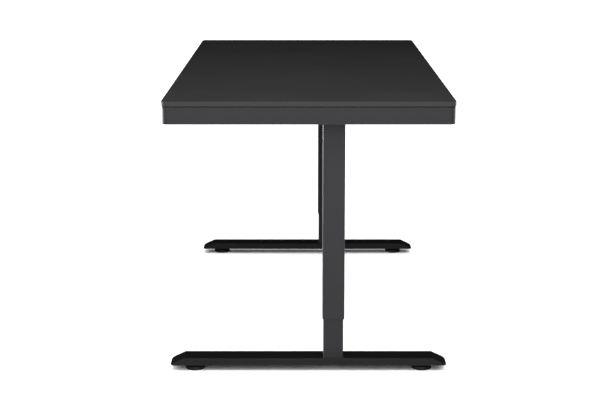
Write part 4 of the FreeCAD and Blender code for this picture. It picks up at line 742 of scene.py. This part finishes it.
# -------------------- worm gearing
# A hobbed bronze wheel on each screw, driven by a worm on the motor's shaft, in a die-cast
# aluminium case with a cast lid.
bronze = new_finish(
    "machined_bronze", (0.56, 0.36, 0.15), (0.72, 0.5, 0.24), (0.24, 0.38), grain=1800.0, relief=0.00001,
    edge=(0.86, 0.68, 0.4), reach=0.0003, metallic=1.0, smudges=60.0,
)
dress(bronze, "worm_wheel_left", "worm_wheel_right")
cast_alloy = new_finish(
    "die_cast_alloy", (0.42, 0.42, 0.43), (0.56, 0.56, 0.57), (0.42, 0.58), grain=500.0, relief=0.00008,
    edge=(0.74, 0.74, 0.75), reach=0.0006, metallic=0.9, smudges=30.0,
)
for side in ("_left", "_right"):
    dress(cast_alloy, "gearbox_case" + side, "gearbox_cover" + side)


# -------------------- motors
# Each motor's can is drawn steel in satin black paint, closed by a moulded end cap under a rolled
# steel band. Two long bolts run the length of the can, and the lead leaves through a soft grommet.
motor_paint = new_finish(
    "satin_motor_paint", (0.02, 0.02, 0.021), (0.03, 0.03, 0.031), (0.26, 0.4), grain=900.0, relief=0.00002,
    edge=(0.12, 0.12, 0.12), reach=0.0005, specular=0.5, smudges=15.0,
)
moulded_black = new_finish(
    "moulded_black", (0.016, 0.016, 0.017), (0.026, 0.026, 0.027), (0.42, 0.58), grain=1000.0,
    relief=0.00004, specular=0.4, edge=(0.045, 0.045, 0.046), reach=0.0005,
)
soft_black = new_finish(
    "soft_black_rubber", (0.014, 0.014, 0.014), (0.022, 0.022, 0.022), (0.62, 0.78), grain=700.0,
    relief=0.00004, specular=0.3,
)
dress(motor_paint, "motor_can_left", "motor_can_right")
dress(moulded_black, "motor_end_cap_left", "motor_end_cap_right")

BAND_PROUD = 0.0007
BAND_HALF = 0.0035
cap_low, cap_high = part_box("motor_end_cap_right")
motor_r = (cap_high.z - cap_low.z) / 2
motor_y, motor_z = (cap_low.y + cap_high.y) / 2, (cap_low.z + cap_high.z) / 2


def on_motor_axis(side, x, turn=0.0):
    """A place on a motor's axis, with +Z facing the middle of the desk."""
    spot = at(side * x, motor_y, motor_z)
    return spot @ facing_x(-side) @ Matrix.Rotation(turn, 4, "Z")


band_rings = [(motor_r - 0.0004, -BAND_HALF), (motor_r + 0.6 * BAND_PROUD, -BAND_HALF),
              (motor_r + BAND_PROUD, -0.6 * BAND_HALF),
              (motor_r + 0.4 * BAND_PROUD, 0.0), (motor_r + BAND_PROUD, 0.6 * BAND_HALF),
              (motor_r + 0.6 * BAND_PROUD, BAND_HALF), (motor_r - 0.0004, BAND_HALF)]
band = turned(band_rings, segments=72, hollow=True)
finished("motor_bands", repeated(band, [on_motor_axis(s, cap_high.x) for s in (-1, 1)]), black_zinc, "top",
         "plated_steel")

through_bolts = [on_motor_axis(s, cap_low.x - 0.0012) @ Matrix.Rotation(a, 4, "Z") @ at(0.0115, 0, 0)
                 for s in (-1, 1) for a in (0.0, math.pi)]
through_bolt = turned([(0.0016, 0.0), (0.0021, -0.0003, 6), (0.0021, -0.0016, 6), (0.0027, -0.0016),
                       (0.0027, -0.0026)])
finished("motor_through_bolts", repeated(through_bolt, through_bolts), black_zinc, "top", "plated_steel")


def strain_relief(lead_r, length, root_r):
    """A ribbed, tapering grommet about +Z round a lead, with its flange at the origin."""
    rings = [(lead_r, -0.0005), (root_r, -0.0005), (root_r, 0.0014), (0.8 * root_r, 0.002)]
    ribs = 4
    for i in range(ribs):
        start = 0.0024 + i * (length - 0.0034) / ribs
        radius = 0.8 * root_r + (lead_r * 1.12 - 0.8 * root_r) * (i + 0.5) / ribs
        rings += [(radius, start), (radius, start + 0.0014), (0.9 * radius, start + 0.0018)]
    rings += [(1.1 * lead_r, length - 0.0004), (lead_r, length)]
    return turned(rings, segments=24, hollow=True)


MOTOR_LEAD_R = 0.0025
GROMMET_LENGTH = 0.013
grommets = [on_motor_axis(s, cap_low.x) for s in (-1, 1)]
finished("motor_grommets", repeated(strain_relief(MOTOR_LEAD_R, GROMMET_LENGTH, 0.0058), grommets),
         soft_black, "top", "lead")


# -------------------- feet
# Pressed steel channels, open below, with sloping ends, in a darker and smoother coat than the columns; the
# coat's colour is made darker still, as painted shade for the shade that falls on the feet under the desk.
# Four socket bolts go up into each column, and two weld nuts take the glides.
foot_coat_with_painted_shade = new_finish(
    "black_foot_coat_with_painted_shade", (0.0055, 0.0055, 0.0058), (0.008, 0.008, 0.0083), (0.42, 0.54), grain=1300.0,
    relief=0.00003, edge=(0.026, 0.026, 0.027), reach=0.0009, specular=0.25,
)
dress(foot_coat_with_painted_shade, "foot_left", "foot_right")

FOOT_BOLT_R = 0.004
FOOT_BOLT_HEAD = 0.005
WELD_NUT_BORE_R = 0.00405


def socket_bolt(length, head_r, head_height, shank_r):
    """A low-headed socket bolt about +Z: its head's face is up, and its end down."""
    rings = [(0.42 * head_r, -0.6 * head_height, 6), (0.42 * head_r, 0.0, 6), (0.88 * head_r, 0.0),
             (head_r, -0.0007),
             (head_r, -head_height), (shank_r, -head_height), (shank_r, -length + 0.0006),
             (0.8 * shank_r, -length)]
    return turned(rings)


for side in ("_left", "_right"):
    bolt_places, nut_places = [], []
    for low, high in solids_in("foot_fixings" + side):
        middle = (low + high) / 2
        if abs(middle.y) > 0.2:
            nut_places.append(at(middle.x, middle.y, low.z))
            weld_nut_r, weld_nut_height = (high.x - low.x) / 2, high.z - low.z
        else:
            bolt_places.append(at(middle.x, middle.y, low.z) @ FACING_DOWN)
            foot_bolt_length, foot_head_r = high.z - low.z, (high.x - low.x) / 2
    bolt_group = repeated(socket_bolt(foot_bolt_length, foot_head_r, FOOT_BOLT_HEAD, FOOT_BOLT_R),
                          bolt_places)
    weld_nut = turned([(WELD_NUT_BORE_R, 0.0004), (WELD_NUT_BORE_R + 0.0004, 0.0), (weld_nut_r - 0.0006, 0.0),
                       (weld_nut_r, 0.0006), (weld_nut_r, weld_nut_height - 0.0016),
                       (weld_nut_r + 0.0012, weld_nut_height - 0.0008),
                       (weld_nut_r + 0.0015, weld_nut_height), (WELD_NUT_BORE_R, weld_nut_height)],
                       hollow=True)
    fixings = combined([bolt_group, repeated(weld_nut, nut_places)])
    finished("foot_bolts_and_nuts" + side, fixings, black_zinc, "base" + side, "plated_steel",
             "foot_fixings" + side)

# -------------------- levelling glides
# A round moulded pad with a hexagonal collar for a spanner, moulded on a zinc plated steel stud.
# The stud screws into the foot's weld nut, so each corner can be raised or lowered.
GLIDE_PAD_R = 0.025
GLIDE_PAD_HEIGHT = 0.0095
GLIDE_COLLAR_HEIGHT = 0.005
GLIDE_COLLAR_HALF = 0.0085
GLIDE_STUD_R = 0.004
GLIDE_PITCH = 0.00125
collar_top = GLIDE_PAD_HEIGHT + GLIDE_COLLAR_HEIGHT

# The pad's black is made far darker than plain moulded black, as painted shade for the shade under the desk
# and the feet.
glide_moulding_painted_shade = new_finish(
    "glide_moulding_painted_shade", (0.0048, 0.0048, 0.005), (0.0076, 0.0076, 0.0078), (0.48, 0.62), grain=800.0,
    relief=0.00005, specular=0.28, edge=(0.03, 0.03, 0.031), reach=0.0006,
)
for end in ("front", "back"):
    for side in ("left", "right"):
        glide = "glide_%s_%s" % (end, side)
        low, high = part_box(glide)
        spot = at((low.x + high.x) / 2, (low.y + high.y) / 2, 0.0)
        pad = turned([(0.006, 0.0012), (0.0065, 0.0004), (0.0215, 0.0004), (0.022, 0.0), (0.0238, 0.0),
                      (0.0247, 0.0006),
                      (GLIDE_PAD_R, 0.0016), (GLIDE_PAD_R, 0.0072), (0.0246, 0.0083), (0.0236, 0.0091),
                      (0.0222, GLIDE_PAD_HEIGHT),
                      (0.0112, GLIDE_PAD_HEIGHT), (0.01, GLIDE_PAD_HEIGHT + 0.0004),
                      (GLIDE_COLLAR_HALF, GLIDE_PAD_HEIGHT + 0.0008, 6),
                      (GLIDE_COLLAR_HALF, collar_top - 0.0008, 6), (0.0088, collar_top),
                      (0.0046, collar_top)], segments=72)
        piece = finished(glide + "_pad", repeated(pad, [spot]), glide_moulding_painted_shade, glide, "black_plastic", glide)
        rings = [(GLIDE_STUD_R, collar_top - 0.002), (GLIDE_STUD_R, collar_top + 0.0006)]
        rings += threads(GLIDE_STUD_R, 0.0006, collar_top + 0.0006, high.z - 0.0006, GLIDE_PITCH)
        stud = turned(rings + [(0.0031, high.z - 0.0003), (0.0028, high.z)])
        stud_piece = finished(glide + "_stud", repeated(stud, [spot]), black_zinc, glide, "plated_steel")
        for low_piece in (piece, stud_piece):
            low_pieces.objects.link(low_piece)
            if glide.endswith("right"):
                low_lit.objects.link(low_piece)


# -------------------- control box
# A moulded cover on a pressed plate, screwed up under the board. Its face has raised cooling ribs
# and four screws, and overmoulded plugs enter the sockets in its ends.
dress(black_zinc, "control_box_base")
dress(moulded_black, "control_box_cover", "mains_inlet")

solder_mask = new_finish(
    "solder_mask", (0.01, 0.075, 0.03), (0.018, 0.11, 0.048), (0.24, 0.36), grain=700.0, relief=0.00003,
    specular=0.5, smudges=60.0, coat=0.2,
)
dress(solder_mask, "keypad_board")
CIRCUIT_THICKNESS = 0.0016
LOADED_PARTS = (0.012, 0.012, 0.0125)
loaded_circuit = solder_mask.copy()
loaded_circuit.name = "loaded_circuit"
circuit_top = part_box("control_board")[1].z
split_at_level(loaded_circuit, circuit_top - 1.1 * CIRCUIT_THICKNESS, LOADED_PARTS)
dress(loaded_circuit, "control_board")


def rounded_block(size_x, size_y, size_z, radius, rim):
    """A block about the origin with round upright corners and its upper rim eased."""
    shape = bmesh.new()
    bmesh.ops.create_cube(shape, size=1.0)
    bmesh.ops.scale(shape, vec=(size_x, size_y, size_z), verts=shape.verts)
    upright = [e for e in shape.edges if abs(e.verts[0].co.z - e.verts[1].co.z) > 0.9 * size_z]
    bmesh.ops.bevel(shape, geom=upright, offset=radius, offset_type="OFFSET", affect="EDGES", segments=5,
                    profile=0.5, material=-1)
    upper = [e for e in shape.edges if min(v.co.z for v in e.verts) > 0.49 * size_z]
    bmesh.ops.bevel(shape, geom=upper, offset=rim, offset_type="OFFSET", affect="EDGES", segments=3,
                    profile=0.5, material=-1)
    return shape


RIB_LENGTH, RIB_WIDTH, RIB_PROUD, RIB_PITCH, RIB_COUNT = 0.046, 0.0026, 0.001, 0.0074, 13
box_low, box_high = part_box("control_box_cover")
box_y = (box_low.y + box_high.y) / 2
rib_start = -RIB_PITCH * (RIB_COUNT - 1) / 2
rib_places = [at(rib_start + i * RIB_PITCH, box_y, box_low.z - RIB_PROUD / 2 + 0.0003) @ FACING_DOWN
              for i in range(RIB_COUNT)]
rib = rounded_block(RIB_WIDTH, RIB_LENGTH, RIB_PROUD + 0.0006, 0.0012, 0.0004)
finished("control_box_ribs", repeated(rib, rib_places), moulded_black, "top", "black_plastic")
cover_screws = [at(sx * (box_high.x - 0.01), box_y + sy * 0.031, box_low.z - 0.0014) @ FACING_DOWN
                for sx in (-1, 1) for sy in (-1, 1)]
finished("control_box_screws", repeated(cross_headed(0.003, 0.0016, 0.0014, 0.008), cover_screws), black_zinc,
         "top", "plated_steel")

circuit_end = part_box("control_board")[1].x
PLUG_LENGTH = 0.015
PLUG_PLACES = [(1, 0.022), (1, 0.062), (-1, 0.062)]
plug_z = 0.669
plug = rounded_block(0.0084, 0.0104, PLUG_LENGTH, 0.0014, 0.0012)
plugs = [at(side * (circuit_end + PLUG_LENGTH / 2), y, plug_z) @ facing_x(side) for side, y in PLUG_PLACES]
finished("control_plugs", repeated(plug, plugs), moulded_black, "top", "black_plastic")
plug_tails = [at(side * (circuit_end + PLUG_LENGTH), y, plug_z) @ facing_x(side) for side, y in PLUG_PLACES]
finished("plug_strain_reliefs", repeated(strain_relief(0.0022, 0.011, 0.004), plug_tails), soft_black,
         "top", "lead")

INLET_PIN_LENGTH = 0.0145
inlet_low, inlet_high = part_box("mains_inlet")
inlet_y, inlet_z = (inlet_low.y + inlet_high.y) / 2, (inlet_low.z + inlet_high.z) / 2
pin_x = inlet_low.x + 0.0049 + INLET_PIN_LENGTH / 2
pin = rounded_block(0.0042, 0.0022, INLET_PIN_LENGTH, 0.0005, 0.0006)
pins = [at(pin_x, inlet_y + dy, inlet_z + dz) @ facing_x(-1) for dy,
        dz in ((-0.007, 0), (0, 0.003), (0.007, 0))]
finished("inlet_pins", repeated(pin, pins), ground_steel, "top", "bright_steel")


# -------------------- keypad
# A moulded plate on the apron's front face, with a smoked display window and six push keys: up,
# down, three stored heights, and the key that stores them.
dress(moulded_black, "keypad_bezel", "keypad_case")
smoked_window = new_finish(
    "smoked_window", (0.008, 0.008, 0.01), (0.011, 0.011, 0.013), (0.05, 0.12), grain=300.0,
    relief=0.000002, specular=0.6, smudges=80.0, coat=0.6,
)
dress(smoked_window, "keypad_display")

FACING_FRONT = Matrix.Rotation(math.pi / 2, 4, "X")
DIGIT_HEIGHT, DIGIT_WIDTH, DIGIT_BAR, DIGIT_PITCH = 0.0066, 0.0036, 0.0007, 0.0058
SEGMENTS = {
    "top": (0, 1, True), "middle": (0, 0, True), "bottom": (0, -1, True),
    "upper_left": (-1, 0.5, False), "upper_right": (1, 0.5, False),
    "lower_left": (-1, -0.5, False), "lower_right": (1, -0.5, False),
}
SHOWN = [["top", "upper_right", "lower_right"],
         ["top", "bottom", "upper_left", "upper_right", "lower_left", "lower_right"]]

lit = new_finish(
    "lit_segments", (0.7, 0.8, 0.85), (0.75, 0.84, 0.88), (0.45, 0.5), grain=900.0, relief=0.000001,
)
lit_shader = lit.node_tree.nodes["Principled BSDF"]
lit_shader.inputs["Emission Color"].default_value = (0.72, 0.88, 1.0, 1.0)
lit_shader.inputs["Emission Strength"].default_value = 0.8
window_low, window_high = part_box("keypad_display")
digits = []
for i, lit_names in enumerate(SHOWN):
    middle_x = (window_low.x + window_high.x) / 2 + (i - 0.5) * DIGIT_PITCH
    middle_z = (window_low.z + window_high.z) / 2
    for name in lit_names:
        across, up, level_bar = SEGMENTS[name]
        length = (DIGIT_WIDTH if level_bar else DIGIT_HEIGHT / 2) - 0.4 * DIGIT_BAR
        bar = rounded_block(length if level_bar else DIGIT_BAR, DIGIT_BAR if level_bar else length, 0.0003,
                            0.45 * DIGIT_BAR, 0.00005)
        spot = (middle_x + across * DIGIT_WIDTH / 2, window_low.y + 0.00008, middle_z + up * DIGIT_HEIGHT / 2)
        digits.append(repeated(bar, [Matrix.Translation(spot) @ FACING_FRONT]))
finished("display_digits", combined(digits), lit, "top", "display")

# -------------------- keys
# Moulded caps with a lip that stops them behind the plate, a shallow dish, and a raised symbol in
# the dish, printed pale. Each presses a switch on the keypad's board.
KEY_LIP = 0.001
LIP_BACK = 0.0026
KEY_DISH = 0.00025
SYMBOL_PROUD = 0.00012
SYMBOL_SIZE = 0.0058
key_moulding = new_finish(
    "key_moulding", (0.021, 0.021, 0.022), (0.029, 0.029, 0.03), (0.4, 0.54), grain=1400.0, relief=0.00002,
    specular=0.4,
)
pale_print = new_finish(
    "pale_print", (0.58, 0.58, 0.58), (0.68, 0.68, 0.68), (0.48, 0.6), grain=1400.0, relief=0.00001,
)


def key_symbol(symbol):
    """A key's symbol as a thin raised shape about the origin: an arrow, or a letter or number."""
    shape = bmesh.new()
    if symbol in ("up", "down"):
        bmesh.ops.create_circle(shape, cap_ends=True, radius=0.55 * SYMBOL_SIZE, segments=3)
        tip = math.pi / 2 if symbol == "up" else -math.pi / 2
        apex = max(shape.verts, key=lambda v: v.co.y)
        turn = tip - math.atan2(apex.co.y, apex.co.x)
        bmesh.ops.rotate(shape, verts=shape.verts, matrix=Matrix.Rotation(turn, 3, "Z"))
        bmesh.ops.bevel(shape, geom=list(shape.verts), offset=0.0004, offset_type="OFFSET", affect="VERTICES",
                        segments=3, profile=0.5, material=-1)
        grown = bmesh.ops.extrude_face_region(shape, geom=list(shape.faces), use_keep_orig=True)["geom"]
        bmesh.ops.translate(shape, vec=(0, 0, 2 * SYMBOL_PROUD),
                            verts=[g for g in grown if isinstance(g, bmesh.types.BMVert)])
        return shape
    letters = bpy.data.curves.new("symbol", "FONT")
    letters.body = symbol
    letters.size = 1.25 * SYMBOL_SIZE
    letters.align_x, letters.align_y = "CENTER", "CENTER"
    letters.extrude = SYMBOL_PROUD
    letters.resolution_u = 4
    holder = bpy.data.objects.new("symbol", letters)
    drawn = bpy.data.meshes.new_from_object(holder)
    shape.from_mesh(drawn)
    bmesh.ops.remove_doubles(shape, verts=shape.verts, dist=1e-6)
    bpy.data.objects.remove(holder)
    bpy.data.curves.remove(letters)
    bpy.data.meshes.remove(drawn)
    bmesh.ops.translate(shape, vec=(0, 0, SYMBOL_PROUD), verts=shape.verts)
    return shape


for key, symbol in (("key_up", "up"), ("key_down", "down"), ("key_preset_1", "1"), ("key_preset_2", "2"),
                    ("key_preset_3", "3"), ("key_memory", "M")):
    low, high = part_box(key)
    size, depth = high.x - low.x - 2 * KEY_LIP, high.y - low.y
    face = at((low.x + high.x) / 2, low.y, (low.z + high.z) / 2) @ FACING_FRONT
    cap = rounded_block(size, size, depth, 0.002, 0.0005)
    bmesh.ops.translate(cap, vec=(0, 0, -depth / 2), verts=cap.verts)
    front = [f for f in cap.faces if f.normal.z > 0.99 and f.calc_area() > 0.25 * size * size]
    bmesh.ops.inset_region(cap, faces=front, thickness=0.0005, depth=0.0, use_even_offset=True)
    bmesh.ops.inset_region(cap, faces=front, thickness=0.0008, depth=-KEY_DISH, use_even_offset=True)
    lip = rounded_block(size + 2 * KEY_LIP, size + 2 * KEY_LIP, KEY_LIP, 0.002, 0.0002)
    bmesh.ops.translate(lip, vec=(0, 0, KEY_LIP / 2 - LIP_BACK), verts=lip.verts)
    finished(key + "_cap", repeated(combined([cap, lip]), [face]), key_moulding, key, "black_plastic", key)
    dish = face @ at(0, 0, -KEY_DISH - 0.00002)
    finished(key + "_symbol", repeated(key_symbol(symbol), [dish]), pale_print, key, "black_plastic")


# -------------------- leads and clips
# Round sheathed leads from both motors and the keypad to the control box, held under the board by
# stick-on saddle clips. Where the keypad's lead leaves its case it has a soft grommet.
lead_sheath = new_finish(
    "lead_sheath", (0.012, 0.012, 0.012), (0.018, 0.018, 0.018), (0.46, 0.6), grain=500.0, relief=0.00003,
    specular=0.4, smudges=40.0,
)
dress(lead_sheath, "control_leads")
dress(moulded_black, "lead_clips")

case_low, case_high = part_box("keypad_case")
KEYPAD_LEAD_R = 0.002
case_exit = at((case_low.x + case_high.x) / 2, case_high.y, (case_low.z + case_high.z) / 2)
case_exit = case_exit @ Matrix.Rotation(-math.pi / 2, 4, "X")
finished("keypad_grommet", repeated(strain_relief(KEYPAD_LEAD_R, 0.01, 0.0046), [case_exit]), soft_black,
         "top", "lead")
